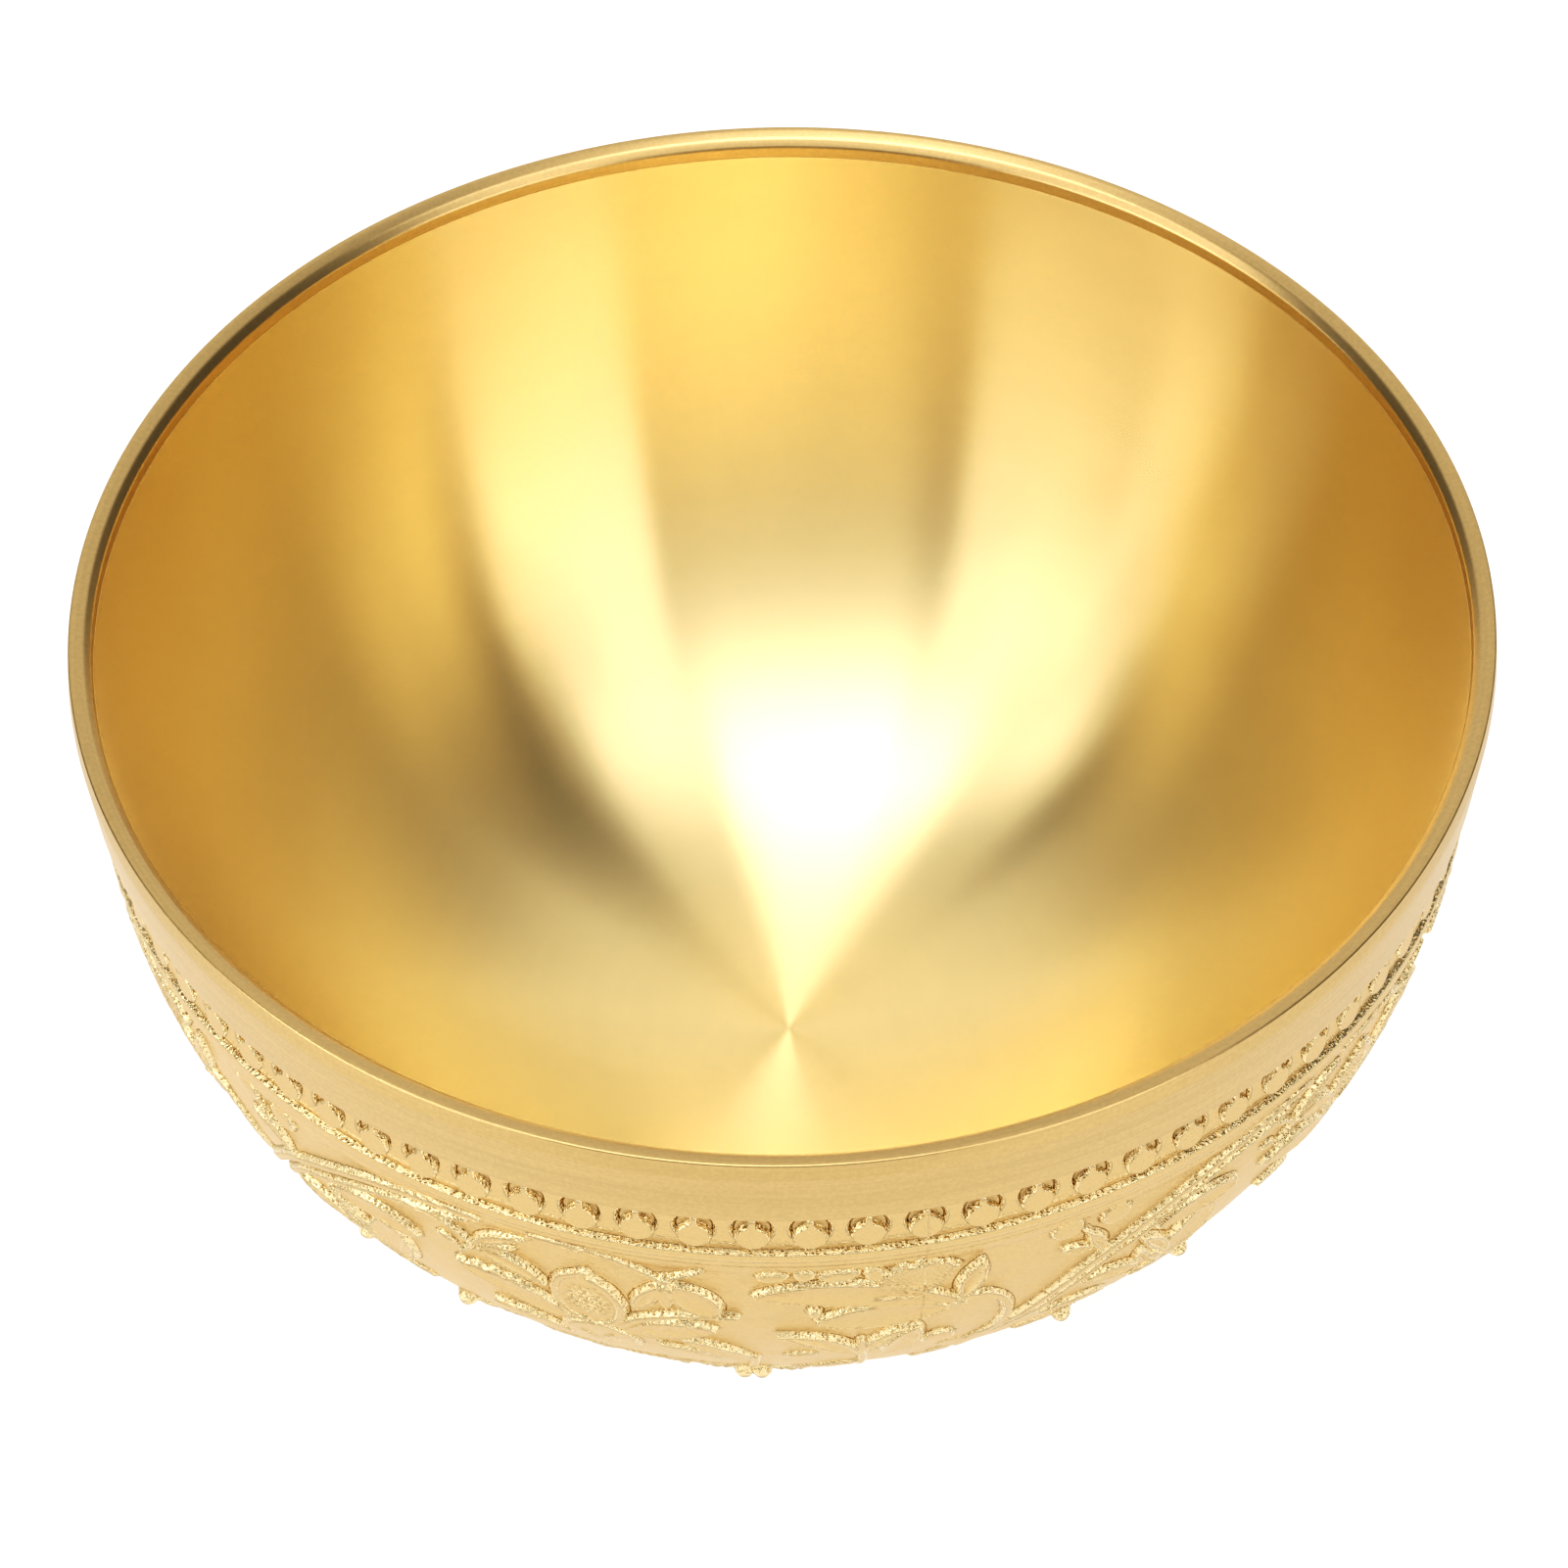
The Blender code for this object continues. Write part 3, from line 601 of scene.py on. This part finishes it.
class Relief:
    """Heights over the jacket for one repeat of the pattern."""

    def __init__(self):
        self.azimuth, self.length = np.meshgrid(AZIMUTHS, LENGTHS)
        self.scale = np.radians(RELIEF_RADIUS)[:, None] + np.zeros_like(self.azimuth)
        self.height = np.zeros_like(self.azimuth)

    def windows(self, azimuth, length, reach):
        """Slices of the grid round a point, for each repeat that reaches into it."""
        span = np.searchsorted(LENGTHS, [length - reach, length + reach])
        row = slice(max(int(span[0]) - 1, 0), int(span[1]) + 1)
        wide = reach / np.interp(min(length + reach, LENGTHS[-1]), LENGTHS, np.radians(RELIEF_RADIUS))
        for turn in (-2 * PERIOD, -PERIOD, 0.0, PERIOD, 2 * PERIOD):
            middle = azimuth + turn
            ends = np.searchsorted(AZIMUTHS, [middle - wide, middle + wide])
            if ends[1] > 0 and ends[0] < len(AZIMUTHS):
                yield turn, (row, slice(max(int(ends[0]) - 1, 0), int(ends[1]) + 1))

    def raise_to(self, window, height):
        """Keep the higher of the relief and one form."""
        self.height[window] = np.maximum(self.height[window], height)

    def local(self, window, azimuth, length):
        """Distances in millimetres to the right of a point and below it."""
        across = (self.azimuth[window] - azimuth) * self.scale[window]
        return across, self.length[window] - length

    def leaf(self, base, tip, width, blunt=0.8, belly=0.9, bow=0.0, dish=0.2, rim=0.0, ribs=0):
        """A leaf or petal from base to tip: steep edge, dished face, and a rim or ribs on it."""
        scale = np.interp((base[1] + tip[1]) / 2, LENGTHS, np.radians(RELIEF_RADIUS))
        run = np.array([(tip[0] - base[0]) * scale, tip[1] - base[1]])
        size = float(np.hypot(*run))
        run /= size
        middle = ((base[0] + tip[0]) / 2, (base[1] + tip[1]) / 2)
        reach = size / 2 + width + abs(bow) + 0.5
        for turn, window in self.windows(middle[0], middle[1], reach):
            x, y = self.local(window, middle[0] + turn, middle[1])
            along = (x * run[0] + y * run[1]) / size + 0.5
            aside = -x * run[1] + y * run[0]
            inside = np.clip(along, 0.0, 1.0)
            aside = aside - bow * 4 * inside * (1 - inside)
            half = width * np.sin(np.pi * np.clip(inside, 1e-4, 1 - 1e-4) ** belly) ** blunt
            edge = np.minimum(half - np.abs(aside), np.minimum(along, 1 - along) * size + 0.05)
            shape = LEAF_HEIGHT * smooth(edge / 0.46 + 0.12)
            shape -= dish * smooth((edge - LEAF_EDGE) / (width * 0.7))
            if rim:
                shape += rim * np.exp(-(((edge - LEAF_EDGE) / 0.2) ** 2))
            if ribs:
                fan = np.arctan2(aside, np.maximum(along * size, 0.3) + 0.4)
                shape += 0.07 * np.cos(fan * ribs * 2) * smooth(edge / 0.6)
            self.raise_to(window, np.where(edge > -0.1, shape, 0.0))

    def dome(self, centre, radii, height=0.6, turn_degrees=0.0, power=2.0, skirt=0.0):
        """A rounded bump, oval if its two radii differ."""
        turned_by = math.radians(turn_degrees)
        for turn, window in self.windows(centre[0], centre[1], max(radii) + 0.4):
            x, y = self.local(window, centre[0] + turn, centre[1])
            u = (x * math.cos(turned_by) + y * math.sin(turned_by)) / radii[0]
            v = (-x * math.sin(turned_by) + y * math.cos(turned_by)) / radii[1]
            part = np.clip(1 - (u * u + v * v), 0.0, 1.0)
            self.raise_to(window, skirt * smooth(part * 8) + (height - skirt) * part ** (1 / power))

    def stem(self, points, width, height=0.55, taper=1.0):
        """A rounded stem through points, which may thin towards its end."""
        path = spline(points)
        widths = np.linspace(width, width * taper, len(path))
        for start, stop, half in zip(path, path[1:], widths / 2):
            middle = ((start[0] + stop[0]) / 2, (start[1] + stop[1]) / 2)
            scale = np.interp(middle[1], LENGTHS, np.radians(RELIEF_RADIUS))
            run = np.array([(stop[0] - start[0]) * scale, stop[1] - start[1]])
            size = max(float(np.hypot(*run)), 1e-6)
            for turn, window in self.windows(middle[0], middle[1], size / 2 + half + 0.2):
                x, y = self.local(window, start[0] + turn, start[1])
                share = np.clip((x * run[0] + y * run[1]) / size**2, 0.0, 1.0)
                away = np.hypot(x - share * run[0], y - share * run[1]) / half
                self.raise_to(window, height * np.clip(1.12 - away**2.6, 0.0, 1.0) ** 0.6)

    def granules(self, centre, radii, pitch, size, base, height):
        """An oval patch packed with small grains on a low dome."""
        scale = np.interp(centre[1], LENGTHS, np.radians(RELIEF_RADIUS))
        rows = int(radii[1] / pitch) + 1
        columns = int(radii[0] / pitch) + 1
        for row in range(-rows, rows + 1):
            for column in range(-columns, columns + 1):
                x = (column + 0.5 * (row % 2)) * pitch
                y = row * pitch * 0.87
                part = 1 - (x / radii[0]) ** 2 - (y / radii[1]) ** 2
                if part < 0.02:
                    continue
                spot = (centre[0] + x / scale, centre[1] + y)
                self.dome(spot, (size, size), base + (height - base) * part**0.5 + 0.06)

    def calm(self):
        """Flatten the forms where the bowl turns under, down to the second row of flowers."""
        under, low = smooth((self.length - 15.0) / 6.0), smooth((30.0 - self.length) / 2.0)
        self.height *= 1.0 - 0.55 * under * low

    def finish(self):
        """The height above the jacket's curve, with an uneven cast ground."""
        across = self.azimuth * NOISE_SCALE
        ground = GROUND + 0.03 * value_noise(across, self.length, 1.6, 3)
        ground += 0.02 * value_noise(across, self.length, 0.5, 5)
        level = ground + self.height * 0.78
        strip = smooth((STRIP_END + 1.6 - self.length) / 1.5)
        level = level + np.maximum(STRIP_PROUD - 0.02 - level, 0.0) * strip
        return np.minimum(level, 0.95)


def spline(points, steps=7):
    """A smooth path through points."""
    points = [np.array(point, float) for point in points]
    points = [2 * points[0] - points[1]] + points + [2 * points[-1] - points[-2]]
    path = []
    for before, first, second, after in zip(points, points[1:], points[2:], points[3:]):
        for step in range(steps):
            t = step / steps
            path.append(
                0.5
                * (
                    2 * first
                    + (second - before) * t
                    + (2 * before - 5 * first + 4 * second - after) * t**2
                    + (3 * first - before - 3 * second + after) * t**3
                )
            )
    path.append(points[-2])
    return path


def value_noise(x, y, size, seed):
    """Smooth noise from -1 to 1 over millimetres, which repeats with the pattern in x."""
    period = PERIOD * NOISE_SCALE
    cells = int(round(period / size))
    column = x / period * cells
    row = y / size
    first_column, first_row = np.floor(column).astype(int), np.floor(row).astype(int)
    across, down = smooth(column - first_column), smooth(row - first_row)

    def lattice(i, j):
        mixed = (i % cells) * 374761393 + j * 668265263 + seed * 974634777
        mixed = (mixed ^ (mixed >> 13)) * 1274126177 & 0x7FFFFFFF
        return (mixed % 65536) / 32768.0 - 1.0

    def row_value(j):
        return lattice(first_column, j) * (1 - across) + lattice(first_column + 1, j) * across

    return row_value(first_row) * (1 - down) + row_value(first_row + 1) * down


def carve():
    """The flower scrolls of one repeat."""
    relief = Relief()
    carve_blossom(relief)
    carve_arc(relief)
    carve_bud(relief)
    carve_peony(relief)
    carve_low(relief)
    relief.calm()
    for knob in KNOBS:
        relief.dome(knob, (0.85, 0.85), 1.3)
    return relief.finish()


def carve_blossom(relief):
    """Open blossom in front, with its ruffled edge, ribbed fan, node, stem curl and the leaves below."""
    relief.leaf((11.9, 8.3), (-4.9, 4.9), 2.0, blunt=0.5, belly=1.05, bow=1.5, dish=0.16, rim=0.07)
    relief.dome((-3.0, 2.0), (1.3, 0.75), 0.66, -8.0, 3.0)
    relief.dome((-0.5, 1.8), (0.9, 0.8), 0.66, -8.0, 3.0)
    relief.dome((2.2, 2.0), (1.7, 0.85), 0.66, -8.0, 3.0)
    relief.dome((5.0, 2.2), (0.8, 1.1), 0.66, -8.0, 3.0)
    relief.leaf((11.6, 9.3), (0.2, 9.7), 2.25, blunt=0.55, belly=1.0, bow=0.3, dish=0.16, rim=0.08)
    relief.stem([(11.6, 8.3), (9.0, 6.7), (5.2, 6.1)], 0.75, 0.66, 0.6)
    relief.stem([(11.6, 7.8), (9.4, 5.9), (6.6, 5.0)], 0.6, 0.62, 0.6)
    relief.leaf((8.9, 6.4), (8.2, 1.4), 3.1, blunt=0.5, belly=1.7, dish=0.12, rim=0.07, ribs=26)
    for azimuth, length in ((7.3, 1.35), (8.6, 1.15), (9.8, 1.5), (10.8, 2.0), (11.5, 2.8)):
        relief.dome((azimuth, length), (0.5, 0.42), 0.66)
    relief.dome((0.3, 8.0), (0.6, 0.8), 0.72)
    relief.leaf((12.4, 8.4), (13.8, 2.3), 1.3, blunt=0.85, belly=0.85, dish=0.22, rim=0.12)
    curl = [(12.9, 8.3), (14.8, 9.0), (16.3, 10.9), (17.0, 13.5), (16.8, 16.5), (15.9, 20.0), (14.2, 23.5)]
    relief.stem(curl, 0.95)
    relief.dome((12.3, 8.8), (0.7, 0.85), 0.9)
    relief.leaf((4.4, 19.6), (-3.3, 12.1), 1.35, blunt=0.75, belly=1.1, bow=1.5, dish=0.18, rim=0.1)
    relief.leaf((4.9, 18.2), (8.4, 11.8), 1.0, blunt=0.8, bow=-0.7, dish=0.18, rim=0.1)
    relief.leaf((7.0, 19.8), (9.0, 12.1), 1.6, blunt=0.6, dish=0.2, rim=0.1)
    relief.stem([(4.3, 14.4), (4.4, 17.0), (4.8, 21.0), (4.9, 27.0)], 0.75, 0.6)
    relief.dome((11.2, 17.0), (1.35, 1.7), 0.6, -12.0, 5.0)
    relief.dome((-0.8, 18.6), (1.35, 1.15), 0.62, 0.0, 3.0)
    relief.dome((12.9, 20.9), (1.2, 1.3), 0.5, 0.0, 3.0)


def carve_arc(relief):
    """Double stem that rises to the right, the sprig over it and the flower under it."""
    sweep = [(10.6, 26.5), (13.2, 22.5), (15.8, 18.9), (18.3, 16.0), (21.0, 12.7), (23.8, 9.4), (26.5, 7.4)]
    sweep += [(29.5, 5.5), (33.0, 3.5), (37.0, 2.0), (41.0, 1.2), (45.0, 0.9)]
    relief.stem(sweep, 1.35, 0.62, 0.7)
    lower = [(azimuth + 1.1, length + 1.35) for azimuth, length in sweep[1:-1]] + [(43.8, 1.9)]
    relief.stem(lower, 1.1, 0.5, 0.5)
    relief.dome((20.9, 2.3), (1.35, 1.25), 0.5, 0.0, 4.0)
    relief.dome((25.2, 2.55), (1.3, 1.4), 0.52, 0.0, 4.0)
    relief.leaf((24.9, 7.6), (22.8, 3.4), 0.85, blunt=0.7, belly=0.9, rim=0.06)
    relief.leaf((23.6, 6.4), (20.4, 5.1), 0.75, blunt=0.7)
    relief.stem([(22.6, 3.2), (23.2, 4.4), (24.6, 6.0)], 0.5, 0.66)
    relief.leaf((38.6, 8.4), (29.6, 8.2), 1.75, blunt=0.5, bow=0.5, dish=0.15, rim=0.06)
    relief.leaf((32.4, 14.7), (28.2, 8.4), 0.95, blunt=0.8, bow=0.3, rim=0.12)
    relief.leaf((31.0, 15.0), (29.0, 10.8), 0.8, blunt=0.8, bow=-0.4, rim=0.1)
    relief.leaf((33.6, 16.9), (35.2, 8.7), 2.35, blunt=0.45, dish=0.1, ribs=13, rim=0.1)
    relief.stem([(31.0, 14.2), (31.7, 16.0), (33.2, 18.6), (34.4, 22.0)], 0.7, 0.66)
    relief.dome((31.3, 14.7), (0.6, 0.7), 0.8)
    relief.leaf((29.8, 15.4), (23.3, 12.6), 1.35, blunt=0.55, bow=0.3, rim=0.08)
    relief.leaf((28.0, 19.8), (20.4, 17.9), 1.5, blunt=0.6, bow=0.4, rim=0.08)
    relief.leaf((36.2, 20.5), (30.0, 19.0), 1.3, blunt=0.6, rim=0.08)
    relief.dome((23.6, 23.6), (1.2, 0.7), 0.7, 30.0)


def carve_bud(relief):
    """Sprig, stem tip, three hanging petals and the granular bud."""
    relief.stem([(38.0, 3.2), (41.0, 3.1), (43.4, 4.7), (43.8, 5.9), (42.6, 7.4)], 0.75, 0.6, 0.6)
    relief.leaf((43.8, 5.2), (49.7, 1.6), 0.85, blunt=0.75, bow=-0.45, dish=0.14, rim=0.08)
    relief.leaf((44.3, 5.2), (48.3, 3.7), 0.62, blunt=0.7, bow=0.1)
    relief.leaf((44.2, 5.5), (50.3, 8.4), 1.25, blunt=0.6, bow=-0.6, dish=0.16, rim=0.1)
    relief.leaf((44.6, 6.0), (48.6, 8.0), 0.5, blunt=0.8, bow=-0.2)
    relief.dome((41.4, 6.3), (0.9, 0.6), 0.5, 20.0)
    relief.stem([(49.6, 0.9), (53.6, 1.0), (56.4, 1.5), (58.4, 2.6), (60.0, 3.6)], 0.75, 0.55)
    relief.stem([(60.4, 3.3), (61.8, 2.5), (63.4, 1.6)], 0.65, 0.6, 0.7)
    relief.leaf((60.0, 4.1), (57.6, 8.9), 1.05, blunt=0.5, belly=1.3, dish=0.14, rim=0.05)
    relief.leaf((60.4, 4.2), (60.3, 8.3), 0.85, blunt=0.55, dish=0.14)
    relief.leaf((61.0, 3.9), (64.4, 8.8), 1.85, blunt=0.5, belly=1.1, bow=0.0, dish=0.16, rim=0.1)
    relief.dome((60.4, 3.4), (0.75, 0.62), 0.88)
    relief.dome((53.6, 9.3), (2.95, 4.7), 0.4, 0.0, 5.0, 0.3)
    relief.granules((53.5, 9.4), (1.85, 2.9), 0.56, 0.3, 0.36, 0.6)
    relief.stem([(53.6, 4.7), (51.4, 6.4), (50.7, 9.4), (51.2, 12.0), (52.6, 13.6)], 0.85, 0.55, 0.8)
    relief.stem([(53.7, 5.3), (55.3, 6.7), (56.3, 9.2), (55.9, 12.0), (54.6, 13.4)], 1.25, 0.68, 0.6)
    relief.dome((53.8, 4.6), (0.5, 0.55), 0.7)
    relief.leaf((51.6, 14.2), (41.8, 9.6), 1.9, blunt=0.5, bow=0.9, dish=0.16, rim=0.1)
    for azimuth, length in ((42.3, 9.6), (43.8, 9.2), (45.4, 9.1), (46.9, 9.4)):
        relief.dome((azimuth, length), (0.75, 0.6), 0.68)
    for azimuth, length in ((45.8, 12.2), (47.3, 12.9), (48.8, 13.4), (50.3, 13.8)):
        relief.dome((azimuth, length), (0.45, 0.75), 0.62, 20.0)
    relief.stem([(55.9, 13.3), (58.0, 11.0), (60.6, 9.6), (63.4, 9.0), (66.0, 8.8)], 1.35, 0.64, 0.3)
    relief.leaf((56.0, 14.4), (64.4, 11.4), 1.95, blunt=0.55, bow=-0.3, dish=0.12, rim=0.08)
    lobes = ((58.3, 13.9, 0.8), (60.2, 13.6, 0.75), (62.1, 13.0, 0.7))
    lobes += ((59.2, 11.9, 0.6), (61.2, 11.3, 0.6), (63.0, 11.2, 0.5))
    for azimuth, length, wide in lobes:
        relief.dome((azimuth, length), (wide, 0.85), 0.7, -15.0, 2.5)


def carve_peony(relief):
    """Peony lobes under the bud, a long leaf at each side, and the stem that joins them."""
    relief.dome((53.3, 17.0), (2.95, 3.1), 0.5, 0.0, 4.0, 0.3)
    relief.stem([(50.8, 18.8), (51.2, 15.6), (53.6, 14.2), (56.0, 15.6), (56.6, 18.6)], 0.9, 0.62)
    relief.dome((52.5, 13.4), (0.95, 0.55), 0.7, -10.0)
    relief.leaf((53.6, 20.6), (55.0, 15.8), 0.9, blunt=0.6, rim=0.06)
    relief.leaf((53.2, 20.6), (51.8, 16.4), 0.8, blunt=0.6, rim=0.06)
    relief.leaf((67.0, 20.5), (60.8, 14.1), 1.45, blunt=0.6, bow=0.5, dish=0.16, rim=0.1)
    relief.leaf((64.4, 21.0), (58.4, 16.6), 1.0, blunt=0.7, bow=0.3)
    relief.leaf((50.6, 20.2), (43.6, 15.7), 1.5, blunt=0.55, bow=0.5, dish=0.14, rim=0.1)
    relief.stem([(67.2, 19.0), (66.9, 23.0), (66.4, 27.0)], 0.75, 0.6)
    relief.dome((39.8, 24.2), (1.1, 0.8), 0.8, 20.0)


def carve_rosette(relief, middle, length):
    """A round flower with six petals."""
    relief.dome((middle, length), (1.5, 1.5), 0.6, 0.0, 3.0, 0.3)
    for petal in range(6):
        turn = math.radians(60 * petal + 30)
        base = (middle + math.cos(turn) * 1.8, length + math.sin(turn) * 1.3)
        tip = (middle + math.cos(turn) * 6.6, length + math.sin(turn) * 4.9)
        relief.leaf(base, tip, 1.6, blunt=0.55, belly=1.2, dish=0.16, rim=0.09)


def carve_scroll(relief, middle, way):
    """Curled stem with four leaves beside a rosette; way is 1 or -1, for its mirror image."""

    def place(ahead, length):
        return middle + ahead * way, length

    curl = [place(-1, 27.4), place(-8, 26.0), place(-14, 28.5), place(-16, 33.5), place(-13, 37.0)]
    relief.stem(curl + [place(-10, 35.0)], 0.9, 0.6, 0.6)
    relief.leaf(place(-14, 29.0), place(-21, 27.0), 1.3, blunt=0.7, dish=0.16, rim=0.08)
    relief.leaf(place(-16, 34.0), place(-21, 38.5), 1.4, blunt=0.7, dish=0.16, rim=0.08)
    relief.leaf(place(-10, 27.0), place(-6, 29.5), 0.9, blunt=0.7, rim=0.08)
    relief.leaf(place(4, 26.0), place(11, 22.6), 1.3, blunt=0.7, dish=0.16, rim=0.08)


def carve_low(relief):
    """Second row of flowers below the photographed part, in the same manner, and two plain lines."""
    for middle, way in ((66.3, 1), (30.0, -1)):
        carve_rosette(relief, middle, 33.6)
        carve_scroll(relief, middle, way)
    for length in (41.6, 43.0):
        away = np.abs(relief.length - length)
        relief.height = np.maximum(relief.height, 0.3 * smooth((0.45 - away) / 0.2))


HEIGHTS = carve()


def make_relief(index):
    """One fifth of the flower relief."""
    azimuths = AZIMUTHS + PERIOD * index
    radii = RELIEF_RADIUS[:, None] + HEIGHTS * OUTWARD[:, None]
    depths = RELIEF_DEPTH[:, None] + HEIGHTS * DOWNWARD[:, None]
    inner = (RELIEF_RADIUS - JACKET_WALL * OUTWARD, RELIEF_DEPTH - JACKET_WALL * DOWNWARD)
    marks = (HEIGHTS - GROUND) / 0.9 + 0.12
    return jacket_sector(f"relief_sector_{index + 1}", azimuths, radii, depths, inner, (12, 25), marks)


make_collar()
make_liner()
make_foot()
make_base()
for sector in range(SECTORS):
    make_belt(sector)
    make_relief(sector)


# Floor, light and camera


def make_floor():
    """A plain white plane just under the foot, which glows like a lit sweep."""
    mesh = bpy.data.meshes.new("floor")
    corners = [(x * FLOOR_HALF, y * FLOOR_HALF, 0) for x, y in ((-1, -1), (1, -1), (1, 1), (-1, 1))]
    mesh.from_pydata(corners, [], [(0, 1, 2, 3)])
    floor = bpy.data.objects.new("floor", mesh)
    floor.location.z = -FLOOR_GAP
    bpy.context.scene.collection.objects.link(floor)
    shader = Shader("floor_white", 0.0)
    place = shader.position()[0]
    tone = shader.tint((1.0, 1.0, 1.0), shader.noise(place, 0.02), 0.23, 0.25)
    shader.set(shader.surface, {"Base Color": tone, "Roughness": 0.9})
    shader.set(shader.surface, {"Emission Color": (1, 1, 1, 1), "Emission Strength": 0.9})
    mesh.materials.append(shader.material)


def softbox(name, across, elevation, brightness):
    """A rectangular softbox on a sphere round the bowl, between two sideways shares and elevations.

    A sideways share is the softbox's X over the sphere's radius. Elevations are in degrees, counted up from
    the front, so 90 is straight above and more than 90 is behind the bowl.
    """
    middle = (across[0] + across[1]) / 2
    height = math.radians((elevation[0] + elevation[1]) / 2)
    level = math.sqrt(1 - middle * middle)
    outward = Vector((middle, -math.cos(height) * level, math.sin(height) * level))
    sideways = (Vector((1, 0, 0)) - outward * outward.x).normalized()
    light = bpy.data.lights.new(name, "AREA")
    light.shape = "RECTANGLE"
    light.size = SOFTBOX_DISTANCE * (math.asin(across[1]) - math.asin(across[0]))
    light.size_y = SOFTBOX_DISTANCE * level * math.radians(elevation[1] - elevation[0])
    light.energy = SOFTBOX_POWER * brightness * light.size * light.size_y
    lamp = bpy.data.objects.new(name, light)
    lamp.location = outward * SOFTBOX_DISTANCE + Vector((0, 0, BOWL_MIDDLE))
    lamp.rotation_euler = Matrix((sideways, outward.cross(sideways), outward)).transposed().to_euler()
    bpy.context.scene.collection.objects.link(lamp)


def make_lights():
    """Softboxes left and right in front, a row of them overhead, and weak fill between them."""
    # The brightnesses started from a least-squares solve of renders lit by one softbox each against the
    # photo's brightness. They were then rounded, and changed from one render to the next.
    softbox("right_low", (0.40, 0.80), (5, 28), 0.23)
    softbox("right_high", (0.38, 0.80), (28, 50), 0.15)
    softbox("left_low", (-0.96, -0.60), (5, 28), 0.28)
    softbox("left_high", (-0.88, -0.56), (28, 50), 0.17)
    softbox("left_edge", (-0.98, -0.88), (28, 50), 0.45)
    softbox("left_shoulder", (-0.95, -0.62), (50, 68), 0.17)
    softbox("front_fill", (-0.45, 0.35), (5, 50), 0.02)
    softbox("upper_fill", (-0.62, 0.55), (50, 68), 0.07)
    softbox("overhead_front", (-0.35, 0.58), (68, 80), 0.2)
    softbox("overhead", (-0.45, 0.15), (80, 92), 0.54)
    softbox("overhead_left", (-0.80, -0.45), (80, 92), 0.24)
    softbox("overhead_right", (0.15, 0.50), (80, 92), 0.15)
    softbox("overhead_back", (-0.20, 0.05), (92, 110), 0.14)
    softbox("back", (-0.6, 0.6), (110, 140), 0.06)
    softbox("back_low", (-0.7, 0.7), (140, 176), 0.06)
    softbox("side_left", (-0.995, -0.95), (68, 120), 0.19)
    world = bpy.data.worlds.new("studio")
    bpy.context.scene.world = world
    world.use_nodes = True
    background = world.node_tree.nodes["Background"]
    background.inputs["Color"].default_value = (1.0, 1.0, 1.0, 1.0)
    background.inputs["Strength"].default_value = 0.11


def make_camera():
    """The photo's view: a camera in front of the bowl and above it, which then turns about the axis."""
    radius, top = RIM_RADIUS * MM, HEIGHT * MM
    back = CAMERA_DISTANCE * math.cos(CAMERA_ELEVATION) * radius
    rise = CAMERA_DISTANCE * math.sin(CAMERA_ELEVATION) * radius
    down = CAMERA_ELEVATION + CAMERA_PITCH
    level = math.cos(down)
    ahead = Vector((math.sin(CAMERA_YAW) * level, math.cos(CAMERA_YAW) * level, -math.sin(down)))
    right = Vector((math.cos(CAMERA_YAW), -math.sin(CAMERA_YAW), 0.0))
    up = right.cross(ahead)
    rolled_right = math.cos(CAMERA_ROLL) * right + math.sin(CAMERA_ROLL) * up
    rolled_up = -math.sin(CAMERA_ROLL) * right + math.cos(CAMERA_ROLL) * up
    pose = Matrix((rolled_right, rolled_up, -ahead)).transposed().to_4x4()
    pose.translation = Vector((0.0, -back, top + rise))
    camera = bpy.data.objects.new("camera", bpy.data.cameras.new("camera"))
    camera.data.sensor_width = SENSOR
    camera.data.lens = FOCAL_PIXELS / PHOTO_SIDE * SENSOR
    camera.data.clip_start = 0.01
    camera.matrix_world = Matrix.Rotation(CAMERA_TURN, 4, "Z") @ pose
    bpy.context.scene.collection.objects.link(camera)
    bpy.context.scene.camera = camera


def set_tone():
    """A plain transform with a slight toe, which deepens the shadows as a studio photo does."""
    view = bpy.context.scene.view_settings
    view.view_transform = "Standard"
    view.use_curve_mapping = True
    tone = view.curve_mapping
    tone.use_clip = True
    tone.clip_max_x = tone.clip_max_y = 4.0
    combined = tone.curves[3]
    combined.points[0].location = (0.0, 0.0)
    combined.points[1].location = (tone.clip_max_x, tone.clip_max_y)
    for value, shown in ((0.03, 0.011), (0.08, 0.042), (0.2, 0.15), (0.4, 0.375), (0.6, 0.6), (1.0, 1.0)):
        combined.points.new(value, shown)
    tone.update()


make_floor()
make_lights()
make_camera()
set_tone()
